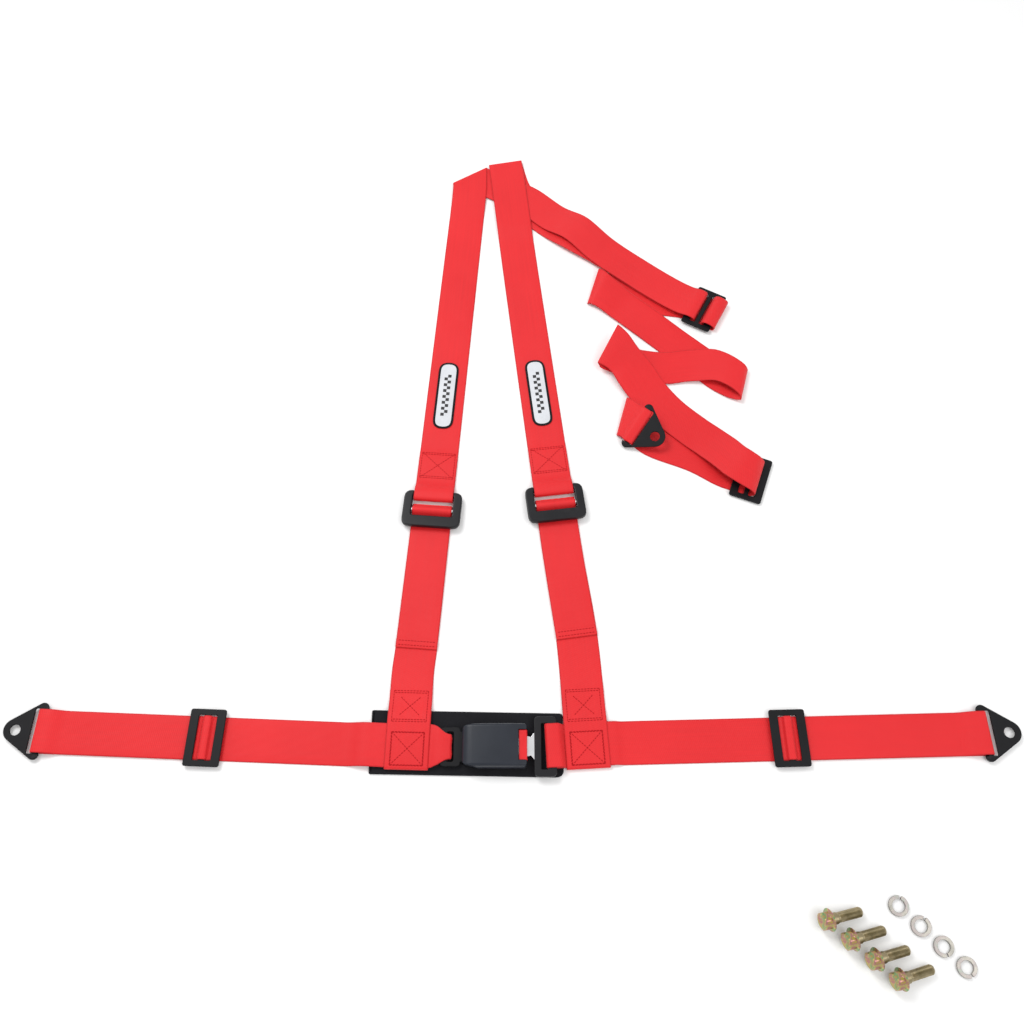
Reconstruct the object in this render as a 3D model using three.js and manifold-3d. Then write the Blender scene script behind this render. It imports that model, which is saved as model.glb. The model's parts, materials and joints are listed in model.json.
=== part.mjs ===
// A four-point racing harness laid out flat: two shoulder straps, a two-part lap strap with a
// push-button buckle, a rear strap, its slides, anchor tabs, and the bolts that fix the tabs.
// Millimetres. X runs along the lap strap, Y towards the shoulders and Z up from the floor.
// The origin is on the floor under the middle of the buckle.
import * as THREE from "three";
import { mergeVertices } from "three/addons/utils/BufferGeometryUtils.js";
import Module from "manifold-3d";

const wasm = await Module();
wasm.setup();

// ---- Driving sizes -------------------------------------------------------------------------

const WEBBING_WIDTH = 50;
const WEBBING_THICK = 1.2;
const GAP = 0.3; // the air left between two pieces that rest on each other
const LAYER = WEBBING_THICK + GAP;
const FLOOR_LEVEL = GAP + WEBBING_THICK / 2; // mid-height of webbing that lies on the floor
const PAD_THICK = 3;

const SLIDE = { across: 65.5, along: 41.5, window: 52, bar: 10.2, middle: 6, thick: 2.6 };
const TAB = {
  width: 65.5, ear: 6, bar: 5.5, slotEnd: 8.8, tip: 40.6, thick: 3,
  apexRadius: 13.5, cornerRadius: 6, hole: 12.8,
};
const ADJUSTER = {
  across: 74, along: 50, window: 52, topBar: 5.6, topBarThick: 3.5, handle: 15, thick: 7,
  cornerRadius: 10, barDiameter: 5, tilt: 3, height: 4.2,
};
const LOOP_RADIUS = TAB.bar / 2 + 0.6 + WEBBING_THICK / 2; // webbing bent round a tab's bar
const LABEL = { length: 103, width: 27, thick: 0.8 };
const BUCKLE_Y = -3.5; // the buckle lies a little below the middle of its pad

const CASING = { left: -36, right: 37, width: 49, wall: 2, floor: 3.4, split: 9.6, top: 23.3 };
const PLATE_Z = 6.6; // underside of the steel plate inside the buckle
const PLATE_THICK = 2.5;
const BLADE_Z = PLATE_Z + PLATE_THICK + GAP;
const BLADE_THICK = 2;

// A 7/16 inch anchor bolt: the collar under the flange is what the tab turns on.
const BOLT = {
  shank: 11.1, shankLength: 29, collar: 12.4, collarLength: 8, flange: 24, flangeThick: 2.6,
  hex: 17.5, head: 8.5, rim: 0.6, bite: 0.5, tipBevel: 1.2,
};
const DISH = { radius: 12, depth: 1.6 }; // the hollow in the middle of a bolt's head
const WASHER = { outer: 21.5, inner: 13.8, thick: 3.2, gap: 14, rise: 1.1, steps: 28 };

// ---- Materials -----------------------------------------------------------------------------

const finish = (color, roughness, metalness = 0) => () =>
  new THREE.MeshStandardMaterial({ color, roughness, metalness });
const redWebbing = finish(0xe8262b, 0.7);
const blackPad = finish(0x222122, 0.95);
const blackSteel = finish(0x2c2e35, 0.45, 0.6);
const blackPlastic = finish(0x33363f, 0.35);
const brightSteel = finish(0xd8dade, 0.25, 1);
const springSteel = finish(0x9a9da3, 0.3, 1);
const zincGold = finish(0xb5a26a, 0.35, 1);
const zincGrey = finish(0xa8a9a0, 0.35, 1);
const buttonRed = finish(0xe0262b, 0.4);
const labelCloth = finish(0xd5d7da, 0.7);

// ---- Solid helpers -------------------------------------------------------------------------

const WELD = 1e-4; // corners closer together than this are one corner
const degrees = (value) => (value * Math.PI) / 180;

function solid(geometry) {
  const loose = geometry.index ? geometry.toNonIndexed() : geometry;
  const bare = new THREE.BufferGeometry();
  bare.setAttribute("position", loose.getAttribute("position"));
  const merged = mergeVertices(bare, WELD);
  return new wasm.Manifold(new wasm.Mesh({
    numProp: 3,
    vertProperties: new Float32Array(merged.getAttribute("position").array),
    triVerts: new Uint32Array(merged.index.array),
  }));
}

function geometryOf(manifold) {
  const mesh = manifold.getMesh();
  const geometry = new THREE.BufferGeometry();
  geometry.setAttribute("position", new THREE.BufferAttribute(mesh.vertProperties, 3));
  geometry.setIndex(new THREE.BufferAttribute(mesh.triVerts, 1));
  const flat = geometry.toNonIndexed();
  flat.computeVertexNormals();
  return flat;
}

function piece(name, shape, material) {
  const geometry = shape.isBufferGeometry ? shape : geometryOf(shape);
  const mesh = new THREE.Mesh(geometry, material());
  mesh.name = name;
  return mesh;
}

const box = (x0, x1, y0, y1, z0, z1) =>
  solid(new THREE.BoxGeometry(x1 - x0, y1 - y0, z1 - z0).translate(
    (x0 + x1) / 2, (y0 + y1) / 2, (z0 + z1) / 2));

// A round bar along Y, and a round pillar along Z between two heights.
const rod = (radius, length, sides = 20) =>
  new THREE.CylinderGeometry(radius, radius, length, sides);
const pillar = (x, y, radius, z0, z1) =>
  solid(rod(radius, z1 - z0, 14).rotateX(Math.PI / 2).translate(x, y, (z0 + z1) / 2));

// A closed outline made of straight lines and round corners, one [x, y, radius] for each corner.
function roundedOutline(corners) {
  const shape = new THREE.Shape();
  corners.forEach(([x, y, radius], i) => {
    const [px, py] = corners[(i + corners.length - 1) % corners.length];
    const [nx, ny] = corners[(i + 1) % corners.length];
    const here = new THREE.Vector2(x, y);
    const back = new THREE.Vector2(px - x, py - y).normalize();
    const ahead = new THREE.Vector2(nx - x, ny - y).normalize();
    const half = Math.acos(THREE.MathUtils.clamp(back.dot(ahead), -1, 1)) / 2;
    const reach = radius / Math.tan(half);
    const start = here.clone().addScaledVector(back, reach);
    const end = here.clone().addScaledVector(ahead, reach);
    if (i === 0) shape.moveTo(start.x, start.y);
    else shape.lineTo(start.x, start.y);
    if (radius > 0) shape.quadraticCurveTo(x, y, end.x, end.y);
  });
  shape.closePath();
  return shape;
}

const roundedRectangle = (width, height, radius) => roundedOutline([
  [-width / 2, -height / 2, radius], [width / 2, -height / 2, radius],
  [width / 2, height / 2, radius], [-width / 2, height / 2, radius],
]);

// The same outline as a hole in a plate, with its middle moved along X.
const holeOf = (outline, x) =>
  new THREE.Path(outline.getPoints(2).map((p) => new THREE.Vector2(p.x + x, p.y)));

// A flat plate of the given outline, from z = 0 up, with its edges broken by a small bevel.
function plate(outline, thick, { bevel = 0, steps = 3, bevelSteps = 1 } = {}) {
  const geometry = new THREE.ExtrudeGeometry(outline, {
    depth: thick - 2 * bevel,
    curveSegments: steps,
    bevelEnabled: bevel > 0,
    bevelThickness: bevel,
    bevelSize: bevel,
    bevelOffset: -bevel,
    bevelSegments: bevelSteps,
  });
  return solid(geometry.translate(0, 0, bevel));
}

const place = (object, x, y, z, turn = 0) => {
  object.position.set(x, y, z);
  object.rotation.z = degrees(turn);
  return object;
};

function groupOf(...children) {
  const group = new THREE.Group();
  group.add(...children);
  return group;
}

// ---- Webbing -------------------------------------------------------------------------------
// A strap is a row of stations. Each one has a middle and the vector from it to the left edge,
// and a box section is drawn through them all. Stations come from way points of three kinds:
//   run(x, y, z)                      a point on the middle line of a flat stretch
//   fold(x, y, zIn, zOut)             a half turn whose outermost point is at x, y
//   bend(x, y, z, across, lift)       a point where the webbing twists: its width lies along the
//                                     plan direction across, and that side is lift higher

const FOLD_STEPS = 6;
const run = (x, y, z, width = WEBBING_WIDTH) => ({ kind: "run", x, y, z, width });
const fold = (x, y, zIn, zOut, width = WEBBING_WIDTH) =>
  ({ kind: "fold", x, y, z: zIn, zOut, width });
const bend = (x, y, z, across, lift = 0, width = WEBBING_WIDTH) =>
  ({ kind: "bend", x, y, z, across, lift, width });

const planDirection = (from, to) => new THREE.Vector3(to.x - from.x, to.y - from.y, 0).normalize();
const leftOf = (direction) => new THREE.Vector3(-direction.y, direction.x, 0);

function foldStations(way, before, after, lastAcross) {
  const arriving = planDirection(before, way);
  const leaving = planDirection(way, after);
  const sum = arriving.clone().add(leaving);
  const crease = sum.length() > 0.05 ? sum.normalize() : leftOf(arriving);
  const outward = arriving.clone().addScaledVector(crease, -arriving.dot(crease)).normalize();
  const slope = arriving.dot(crease) / arriving.dot(outward);
  const radius = Math.abs(way.zOut - way.z) / 2;
  const rise = Math.sign(way.zOut - way.z);
  const across = sameWay(crease.clone(), lastAcross)
    .multiplyScalar(way.width / 2 / arriving.dot(outward));
  return Array.from({ length: FOLD_STEPS + 1 }, (_, i) => {
    const angle = (Math.PI * i) / FOLD_STEPS;
    const middle = new THREE.Vector3(way.x, way.y, way.z)
      .addScaledVector(outward, radius * (Math.sin(angle) - 1))
      .addScaledVector(crease, radius * slope * (angle - Math.PI / 2));
    middle.z += rise * radius * (1 - Math.cos(angle));
    const tangent = outward.clone().multiplyScalar(Math.cos(angle))
      .addScaledVector(crease, slope);
    tangent.z = rise * Math.sin(angle);
    return { middle, across, tangent: tangent.normalize() };
  });
}

function runStation(way, before, after, lastAcross) {
  const arriving = before ? planDirection(before, way) : planDirection(way, after);
  const leaving = after ? planDirection(way, after) : arriving;
  const along = arriving.clone().add(leaving).normalize();
  const mitre = along.dot(arriving);
  const across = sameWay(leftOf(along), lastAcross).multiplyScalar(way.width / 2 / mitre);
  return { middle: new THREE.Vector3(way.x, way.y, way.z), across };
}

function bendStation(way, lastAcross) {
  const angle = degrees(way.across);
  const flat = Math.sqrt((way.width / 2) ** 2 - way.lift ** 2);
  const across = new THREE.Vector3(Math.cos(angle) * flat, Math.sin(angle) * flat, way.lift);
  return { middle: new THREE.Vector3(way.x, way.y, way.z), across: sameWay(across, lastAcross) };
}

// Turns a vector round if it points away from the left edge of the station before it.
const sameWay = (vector, last) => (last && vector.dot(last) < 0 ? vector.negate() : vector);

function stationsOf(ways) {
  const stations = [];
  ways.forEach((way, i) => {
    const lastAcross = stations.at(-1)?.across;
    if (way.kind === "bend") stations.push(bendStation(way, lastAcross));
    else if (way.kind === "run") stations.push(runStation(way, ways[i - 1], ways[i + 1], lastAcross));
    else stations.push(...foldStations(way, ways[i - 1], ways[i + 1], lastAcross));
  });
  stations.forEach((station, i) => {
    const back = stations[Math.max(i - 1, 0)].middle;
    const ahead = stations[Math.min(i + 1, stations.length - 1)].middle;
    const tangent = station.tangent ?? ahead.clone().sub(back).normalize();
    station.normal = tangent.clone().cross(station.across).normalize();
  });
  return stations;
}

// The underside is split along the same diagonal as the upper face, so that a strap keeps its
// thickness where it twists.
const UNDERSIDE = 2;

function webbing(name, ways) {
  const stations = stationsOf(ways);
  const corners = stations.flatMap(({ middle, across, normal }) =>
    [[1, 1], [-1, 1], [-1, -1], [1, -1]].map(([side, face]) => middle.clone()
      .addScaledVector(across, side)
      .addScaledVector(normal, (face * WEBBING_THICK) / 2)));
  const index = [];
  for (let i = 0; i + 1 < stations.length; i++) {
    for (let k = 0; k < 4; k++) {
      const [a, b] = [4 * i + k, 4 * i + ((k + 1) % 4)];
      if (k === UNDERSIDE) index.push(a, a + 4, b + 4, a, b + 4, b);
      else index.push(a, a + 4, b, b, a + 4, b + 4);
    }
  }
  const last = 4 * (stations.length - 1);
  index.push(0, 1, 2, 0, 2, 3, last, last + 2, last + 1, last, last + 3, last + 2);
  const geometry = new THREE.BufferGeometry().setFromPoints(corners);
  geometry.setIndex(index);
  return piece(name, geometryOf(outwardFacing(geometry)), redWebbing);
}

function outwardFacing(geometry) {
  const made = solid(geometry);
  if (made.volume() > 0) return made;
  const index = geometry.index.array;
  for (let i = 0; i < index.length; i += 3) [index[i + 1], index[i + 2]] = [index[i + 2], index[i + 1]];
  return solid(geometry);
}

// The length of webbing that rides over a bar: it dips under the frame's bars at both ends.
function bight(name, { endZ, topZ, reach, barHalf }) {
  const down = [
    [barHalf - 0.8, topZ], [barHalf + 0.9, topZ - 1], [barHalf + 1.6, endZ + 2.2],
    [barHalf + 4.4, endZ], [reach, endZ],
  ];
  const up = down.map(([x, z]) => [-x, z]).reverse();
  return webbing(name, [...up, ...down].map(([x, z]) => run(x, 0, z)));
}

// ---- Slides and tabs -----------------------------------------------------------------------
// Each is drawn with the strap running along X, and its underside at z = 0.

function slideFrame(name) {
  const outline = roundedRectangle(SLIDE.along, SLIDE.across, 3);
  const slot = (SLIDE.along - 2 * SLIDE.bar - SLIDE.middle) / 2;
  for (const side of [-1, 1]) {
    outline.holes.push(holeOf(
      roundedRectangle(slot, SLIDE.window, 1.5), (side * (SLIDE.middle + slot)) / 2));
  }
  return piece(name, plate(outline, SLIDE.thick, { bevel: 0.5 }), blackSteel);
}

// The tab's outline is the hull of a round tip and two round ears. Its origin is the middle of
// the slot's bar, and the tip points along +X.
function tabOutline({ width, ear, bar, tip, apexRadius, cornerRadius }) {
  const apex = tip - apexRadius;
  const [ex, ey] = [cornerRadius - ear, width / 2 - cornerRadius];
  const reach = Math.hypot(ex - apex, ey);
  const normal = Math.atan2(ey, ex - apex) - Math.acos((apexRadius - cornerRadius) / reach);
  const shape = new THREE.Shape();
  shape.absarc(apex, 0, apexRadius, -normal, normal, false);
  shape.absarc(ex, ey, cornerRadius, normal, Math.PI, false);
  const notch = SLIDE.window / 2;
  shape.lineTo(-ear, notch);
  shape.lineTo(-bar / 2, notch);
  shape.lineTo(-bar / 2, -notch);
  shape.lineTo(-ear, -notch);
  shape.absarc(ex, -ey, cornerRadius, Math.PI, 2 * Math.PI - normal, false);
  return shape;
}

function anchorTab(name) {
  const outline = tabOutline(TAB);
  const slot = roundedRectangle(TAB.slotEnd - TAB.bar / 2, SLIDE.window, 2);
  outline.holes.push(holeOf(slot, (TAB.bar / 2 + TAB.slotEnd) / 2));
  const bolt = new THREE.Path();
  bolt.absarc(TAB.tip - TAB.apexRadius, 0, TAB.hole / 2, 0, 2 * Math.PI, true);
  outline.holes.push(bolt);
  return piece(name, plate(outline, TAB.thick, { bevel: 0.5, steps: 7 }), blackSteel);
}

// ---- Lap straps ----------------------------------------------------------------------------
// A lap strap lies along a slanting line. lapPoint gives the plan place of a distance from the
// sewn crossing, measured towards the tab.

const LEFT_LAP = { crossing: [-99, -2], tab: [-524, 15] };
const RIGHT_LAP = { crossing: [108, 1], tab: [565.5, 12.6] };
const BAR_HEIGHT = FLOOR_LEVEL + LOOP_RADIUS; // middle of a tab's bar above the floor
const CROSSING_LEVELS = { sewnUnder: 0, lapUnder: 1, lapOver: 2, sewnOver: 3 };

function lapLine({ crossing, tab }) {
  const [dx, dy] = [tab[0] - crossing[0], tab[1] - crossing[1]];
  const length = Math.hypot(dx, dy);
  const at = (distance) => [
    crossing[0] + (dx / length) * distance, crossing[1] + (dy / length) * distance];
  return { length, at, turn: THREE.MathUtils.radToDeg(Math.atan2(dy, dx)) };
}

// The run from the tab's loop back to the end under the slide, then the long run to the crossing.
function lapTabEnd(line, slideDistance) {
  const over = BAR_HEIGHT + LOOP_RADIUS;
  const doubled = FLOOR_LEVEL + LAYER;
  return [
    run(...line.at(slideDistance - 17), doubled),
    run(...line.at(slideDistance + 60), doubled),
    run(...line.at(line.length - 30), doubled),
    run(...line.at(line.length - 8), over),
    fold(...line.at(line.length + LOOP_RADIUS), over, FLOOR_LEVEL),
    run(...line.at(line.length - 20), FLOOR_LEVEL),
    run(...line.at(slideDistance), FLOOR_LEVEL),
  ];
}

const SLIDE_LEVEL = FLOOR_LEVEL + 2 * LAYER; // webbing that passes under a slide's bars
const SLIDE_BOTTOM = SLIDE_LEVEL + LAYER / 2 + GAP / 2;
const LEFT_SLIDE_AT = 232.5;
const RIGHT_SLIDE_AT = 231;

function lapSlide(side, line, distance) {
  const frame = slideFrame(`${side}_lap_slider`);
  frame.position.z = SLIDE_BOTTOM;
  const barTop = SLIDE_BOTTOM + SLIDE.thick;
  const loop = bight(`${side}_slider_bight`, {
    endZ: SLIDE_LEVEL, topZ: barTop + GAP + WEBBING_THICK / 2 + 0.3, reach: 19,
    barHalf: SLIDE.middle / 2,
  });
  const [x, y] = line.at(distance);
  return place(groupOf(frame, loop), x, y, 0, line.turn);
}

function lapTab(side, line) {
  const tab = anchorTab(`${side}_lap_tab`);
  const [x, y] = line.at(line.length);
  return place(tab, x, y, BAR_HEIGHT - TAB.thick / 2, line.turn);
}

const leftLine = lapLine(LEFT_LAP);
const rightLine = lapLine(RIGHT_LAP);
const padLevel = (layer) => PAD_THICK + FLOOR_LEVEL + LAYER * layer;
const floorLevel = (layer) => FLOOR_LEVEL + LAYER * layer;

// At the buckle the left lap strap narrows and loops round the steel plate's bar.
const ANCHOR_BAR = { x: -57, half: 3 };
const leftLoopUnder = PLATE_Z - GAP - WEBBING_THICK / 2 - 0.2;
const leftLoopOver = PLATE_Z + PLATE_THICK + GAP + WEBBING_THICK / 2 + 0.2;

const leftLapWebbing = webbing("left_lap_webbing", [
  ...lapTabEnd(leftLine, LEFT_SLIDE_AT),
  run(...leftLine.at(72), FLOOR_LEVEL),
  run(...leftLine.at(48), padLevel(CROSSING_LEVELS.lapOver)),
  run(-128, -1, padLevel(CROSSING_LEVELS.lapOver)),
  run(-73.6, BUCKLE_Y + 1, padLevel(CROSSING_LEVELS.lapOver)),
  run(-66, BUCKLE_Y + 0.5, leftLoopOver - 0.6, 45),
  run(-60, BUCKLE_Y, leftLoopOver, 37),
  fold(ANCHOR_BAR.x + ANCHOR_BAR.half + 5, BUCKLE_Y, leftLoopOver, leftLoopUnder, 28),
  run(-62, BUCKLE_Y, leftLoopUnder, 38),
  run(-70, BUCKLE_Y + 0.5, padLevel(CROSSING_LEVELS.lapUnder), 46),
  run(-78, BUCKLE_Y + 1, padLevel(CROSSING_LEVELS.lapUnder)),
  run(-127, -1, padLevel(CROSSING_LEVELS.lapUnder)),
]);

// On the right it loops round the bar of the tongue.
const TONGUE = {
  barLeft: 62, windowLeft: 54, gripLeft: 46, gripRight: 71.5, across: 68, grip: 4.4, edge: 2,
  slotLeft: 53.4, slotRight: 64, slotHalf: 26.4,
};
const TONGUE_Z = BLADE_Z + BLADE_THICK / 2 - TONGUE.grip / 2;
const rightLoopUnder = TONGUE_Z - GAP - WEBBING_THICK / 2 - 0.3;
const rightLoopOver = TONGUE_Z + TONGUE.grip + GAP + WEBBING_THICK / 2 + 0.3;

const rightLapWebbing = webbing("right_lap_webbing", [
  ...lapTabEnd(rightLine, RIGHT_SLIDE_AT),
  run(...rightLine.at(40), FLOOR_LEVEL),
  run(...rightLine.at(32), floorLevel(CROSSING_LEVELS.lapOver)),
  run(81.1, BUCKLE_Y + 1.7, floorLevel(CROSSING_LEVELS.lapOver)),
  run(76.2, BUCKLE_Y + 1.3, rightLoopOver - 1.6),
  run(72.5, BUCKLE_Y + 1, rightLoopOver),
  fold(TONGUE.barLeft - 2.6, BUCKLE_Y + 0.4, rightLoopOver, rightLoopUnder),
  run(70, BUCKLE_Y + 0.9, rightLoopUnder),
  run(77.5, BUCKLE_Y + 1.4, rightLoopUnder - 1.2),
  run(83, BUCKLE_Y + 1.7, floorLevel(CROSSING_LEVELS.lapUnder)),
  run(...rightLine.at(28), floorLevel(CROSSING_LEVELS.lapUnder)),
]);

// ---- Adjusters -----------------------------------------------------------------------------
// Drawn with the strap running up along +X and the handle at -X, then turned onto the strap.

const LEFT_ADJUSTER = { at: [-80.5, 294], heading: 85.8 };
const RIGHT_ADJUSTER = { at: [76, 303], heading: 96.7 };
const TOP_BAR_X = ADJUSTER.along / 2 - ADJUSTER.topBar / 2;
const TOP_BAR_Z = 3.25; // middle of the top bar above the frame's underside
const SLIDING_BAR = { x: -1, z: 3, end: 3, travel: 2 }; // it moves towards the top bar to let go

const alongStrap = ({ at, heading }, distance) => [
  at[0] + Math.cos(degrees(heading)) * distance, at[1] + Math.sin(degrees(heading)) * distance];

// Height above the floor of a point of the tilted adjuster.
const adjusterHeight = (x, z) =>
  ADJUSTER.height - Math.sin(degrees(ADJUSTER.tilt)) * x + z;

function adjusterFrame(name) {
  const windowLength = ADJUSTER.along - ADJUSTER.topBar - ADJUSTER.handle;
  const windowMiddle = (ADJUSTER.handle - ADJUSTER.topBar) / 2;
  const outline = roundedRectangle(ADJUSTER.along, ADJUSTER.across, ADJUSTER.cornerRadius);
  outline.holes.push(holeOf(roundedRectangle(windowLength, ADJUSTER.window, 2), windowMiddle));
  const blank = plate(outline, ADJUSTER.thick, { bevel: 1.8, steps: 4, bevelSteps: 2 });
  const half = ADJUSTER.window / 2;
  const inner = ADJUSTER.along / 2 - ADJUSTER.topBar - 1;
  const topBarLow = TOP_BAR_Z - ADJUSTER.topBarThick / 2;
  const above = box(inner, 30, -half, half, topBarLow + ADJUSTER.topBarThick, 20);
  const below = box(inner, 30, -half, half, -5, topBarLow);
  const pocketRadius = ADJUSTER.barDiameter / 2 + GAP;
  const pocketHalf = half + SLIDING_BAR.end + GAP;
  const pocketEnd = solid(rod(pocketRadius, 2 * pocketHalf, 16))
    .translate(SLIDING_BAR.x, 0, SLIDING_BAR.z);
  const pocket = wasm.Manifold.hull([
    pocketEnd, pocketEnd.translate(SLIDING_BAR.travel, 0, 0)]);
  return piece(name, blank.subtract(above).subtract(below).subtract(pocket), blackPlastic);
}

function slidingBar(name) {
  const length = ADJUSTER.window + 2 * SLIDING_BAR.end;
  const bar = new THREE.Mesh(rod(ADJUSTER.barDiameter / 2, length, 14), brightSteel());
  bar.name = name;
  bar.position.set(SLIDING_BAR.x, 0, SLIDING_BAR.z);
  return bar;
}

// The lower strap's turn over the sliding bar, from under the handle to the far side of the bar.
function adjusterBight(name) {
  const below = -GAP - WEBBING_THICK / 2;
  const over = SLIDING_BAR.z + ADJUSTER.barDiameter / 2 + GAP + WEBBING_THICK / 2;
  return webbing(name, [
    run(-23, 0, below), run(-9.5, 0, below), run(-6.6, 0, SLIDING_BAR.z - 1),
    run(-4.4, 0, over - 1.6), run(SLIDING_BAR.x - 1, 0, over), run(SLIDING_BAR.x + 1, 0, over),
    run(2.6, 0, over - 1.8), run(4.6, 0, SLIDING_BAR.z - 1), run(7, 0, 1.6),
  ]);
}

function adjuster(side, { at, heading }) {
  const group = groupOf(
    adjusterFrame(`${side}_adjuster_frame`),
    slidingBar(`${side}_adjuster_bar`),
    adjusterBight(`${side}_adjuster_bight`));
  group.rotation.y = degrees(ADJUSTER.tilt);
  return place(groupOf(group), at[0], at[1], ADJUSTER.height, heading);
}

// ---- Shoulder straps -----------------------------------------------------------------------
// The lower webbing comes down over the lap strap, turns under it and is sewn back to itself.
// At the top it turns back inside the adjuster, and its free tail lies on top down to the hem.

function shoulderLower(side, adjusterPlace, { foot, knee, hem, heights }) {
  const inAdjuster = (distance, z) => run(...alongStrap(adjusterPlace, distance), z);
  const lean = (knee[0] - foot[0]) / (knee[1] - foot[1]);
  const aboveFoot = ([rise, z]) => run(foot[0] + lean * rise, foot[1] + rise, z);
  const { over, under } = heights;
  return webbing(`${side}_shoulder_lower_webbing`, [
    run(...hem, floorLevel(1)),
    inAdjuster(-60, floorLevel(1)),
    inAdjuster(-20, floorLevel(1)),
    fold(...alongStrap(adjusterPlace, 8), floorLevel(1), FLOOR_LEVEL),
    inAdjuster(-20, FLOOR_LEVEL),
    inAdjuster(-60, FLOOR_LEVEL),
    run(...hem, FLOOR_LEVEL),
    run(...knee, FLOOR_LEVEL),
    ...over.map(aboveFoot),
    fold(...foot, over.at(-1)[1], under[0][1]),
    ...under.map(aboveFoot),
  ]);
}

// Heights of the lower webbing, as [distance above the foot, height], going down and back up.
const onPad = {
  over: [[93, 2.4], [83, 2.7], [70, 5.7], [57, padLevel(3)]],
  under: [[57, padLevel(0)], [70, padLevel(0)], [82, FLOOR_LEVEL], [91, FLOOR_LEVEL]],
};
const onFloor = {
  over: [[91, 2.4], [72, 2.6], [55, floorLevel(3)]],
  under: [[55, floorLevel(0)], [90, floorLevel(0)]],
};
const leftShoulderLower = shoulderLower("left", LEFT_ADJUSTER, {
  foot: [-99.5, -28.6], knee: [-96.7, 82], hem: [-93.8, 114], heights: onPad });
const rightShoulderLower = shoulderLower("right", RIGHT_ADJUSTER, {
  foot: [108, -26.9], knee: [102.2, 80], hem: [98.6, 128], heights: onFloor });

// The upper webbing is sewn round the adjuster's top bar, runs up to the neck, is folded back
// there and goes on as a tail to the slide that joins it to the rear strap.
const UPPER_LOOP_SLACK = 5.5; // how far the upper webbing's loop hangs past the top bar

function shoulderUpper(side, adjusterPlace, beyond) {
  const barLevel = adjusterHeight(TOP_BAR_X, TOP_BAR_Z);
  const radius = Math.hypot(ADJUSTER.topBar, ADJUSTER.topBarThick) / 2 + GAP + WEBBING_THICK / 2;
  const at = (distance, z) => run(...alongStrap(adjusterPlace, distance), z);
  return webbing(`${side}_shoulder_upper_webbing`, [
    at(78, FLOOR_LEVEL),
    at(40, FLOOR_LEVEL),
    at(TOP_BAR_X + 3, barLevel - radius),
    fold(
      ...alongStrap(adjusterPlace, TOP_BAR_X - radius - UPPER_LOOP_SLACK),
      barLevel - radius, barLevel + radius),
    at(TOP_BAR_X + 3, barLevel + radius - 0.1),
    at(40, floorLevel(1) + 0.4),
    at(78, floorLevel(1)),
    at(90, FLOOR_LEVEL),
    ...beyond,
  ]);
}

// The slide that joins the tails to the rear strap, and the one that adjusts the rear strap.
const JOIN = { at: [288.5, 603], heading: -28, z: 4.3 };
const REAR_SLIDE = { at: [328.5, 341], heading: -20.5, z: 2.1 };
const SLOT_EDGE = SLIDE.along / 2 - SLIDE.bar; // from a slide's middle to the edge of its end bar
const BAR_LOOP = SLIDE.thick / 2 + GAP + WEBBING_THICK / 2;
const NEAR_TURN = BAR_LOOP + 3.2 - SLOT_EDGE; // outermost place of the tail's turn at the near bar
const FAR_TURN = SLIDE.along / 2 + 5; // outermost place of the rear strap's turn at the far bar
const barMiddle = ({ z }) => z + SLIDE.thick / 2;

const joinOver = barMiddle(JOIN) + BAR_LOOP;
const joinUnder = barMiddle(JOIN) - BAR_LOOP;
const leftShoulderUpper = shoulderUpper("left", LEFT_ADJUSTER, [
  run(-46, 765, FLOOR_LEVEL), run(-43, 805, 3.4), run(-42, 826, 4.6),
  fold(-42, 848, 4.6, 2.4), run(-19, 836, 2.4), run(10, 820, 2.4), run(40, 804, 2.6),
  run(80, 768, 4), run(114, 742, 11), run(149, 706, 8), run(190, 673, 5.4), run(229, 641.7, 6),
  run(...alongStrap(JOIN, -26), joinOver + 1.5),
  run(...alongStrap(JOIN, -16), joinOver + 3.8),
  run(...alongStrap(JOIN, -11), joinOver + 3.8),
  fold(...alongStrap(JOIN, NEAR_TURN), joinOver + 3.2, joinUnder),
  run(...alongStrap(JOIN, -20), joinUnder),
]);
const rightShoulderUpper = shoulderUpper("right", RIGHT_ADJUSTER, [
  run(33, 672, FLOOR_LEVEL), run(27.6, 720, FLOOR_LEVEL), run(23.4, 757, 4.8), run(14.5, 838, 4.8),
  fold(10.5, 872.5, 4.8, FLOOR_LEVEL), run(24, 822, FLOOR_LEVEL), run(45, 790, FLOOR_LEVEL),
  run(78, 757, 1.4), run(112, 730, 6), run(149, 705, 5.4), run(190, 672.5, 3.6), run(230, 641, 2.9),
  run(...alongStrap(JOIN, -30), 2.4),
]);

function strapLabel(name, { at, heading }, distance) {
  const outline = roundedRectangle(LABEL.length, LABEL.width, LABEL.width / 2);
  const label = piece(name, plate(outline, LABEL.thick, { steps: 6 }), labelCloth);
  const [x, y] = alongStrap({ at, heading }, distance);
  return place(label, x, y, FLOOR_LEVEL + WEBBING_THICK / 2 + GAP, heading);
}

// ---- Rear strap ----------------------------------------------------------------------------
// It is sewn round the joining slide's far bar, passes under the tails, and zigzags: each run
// lies on the one before it, with two open standing loops and two flat folds.

const REAR_TAB = { at: [184.7, 411], z: 15.4, heading: -36, roll: 20 };
const TAB_TURN = LOOP_RADIUS + 3; // how far the webbing's loop hangs past the tab's bar
const BIGHT_END = -SLIDE.along / 2 - 0.6;

// A station beside the rear tab: a distance along the tab and a height over its middle.
function besideTab({ at, z, heading, roll }, distance, height) {
  const tilt = new THREE.Euler(degrees(roll), 0, degrees(heading), "ZYX");
  const offset = new THREE.Vector3(distance, 0, height).applyEuler(tilt);
  const lift = (WEBBING_WIDTH / 2) * Math.sin(degrees(roll));
  return bend(at[0] + offset.x, at[1] + offset.y, z + offset.z, heading + 90, lift);
}

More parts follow.
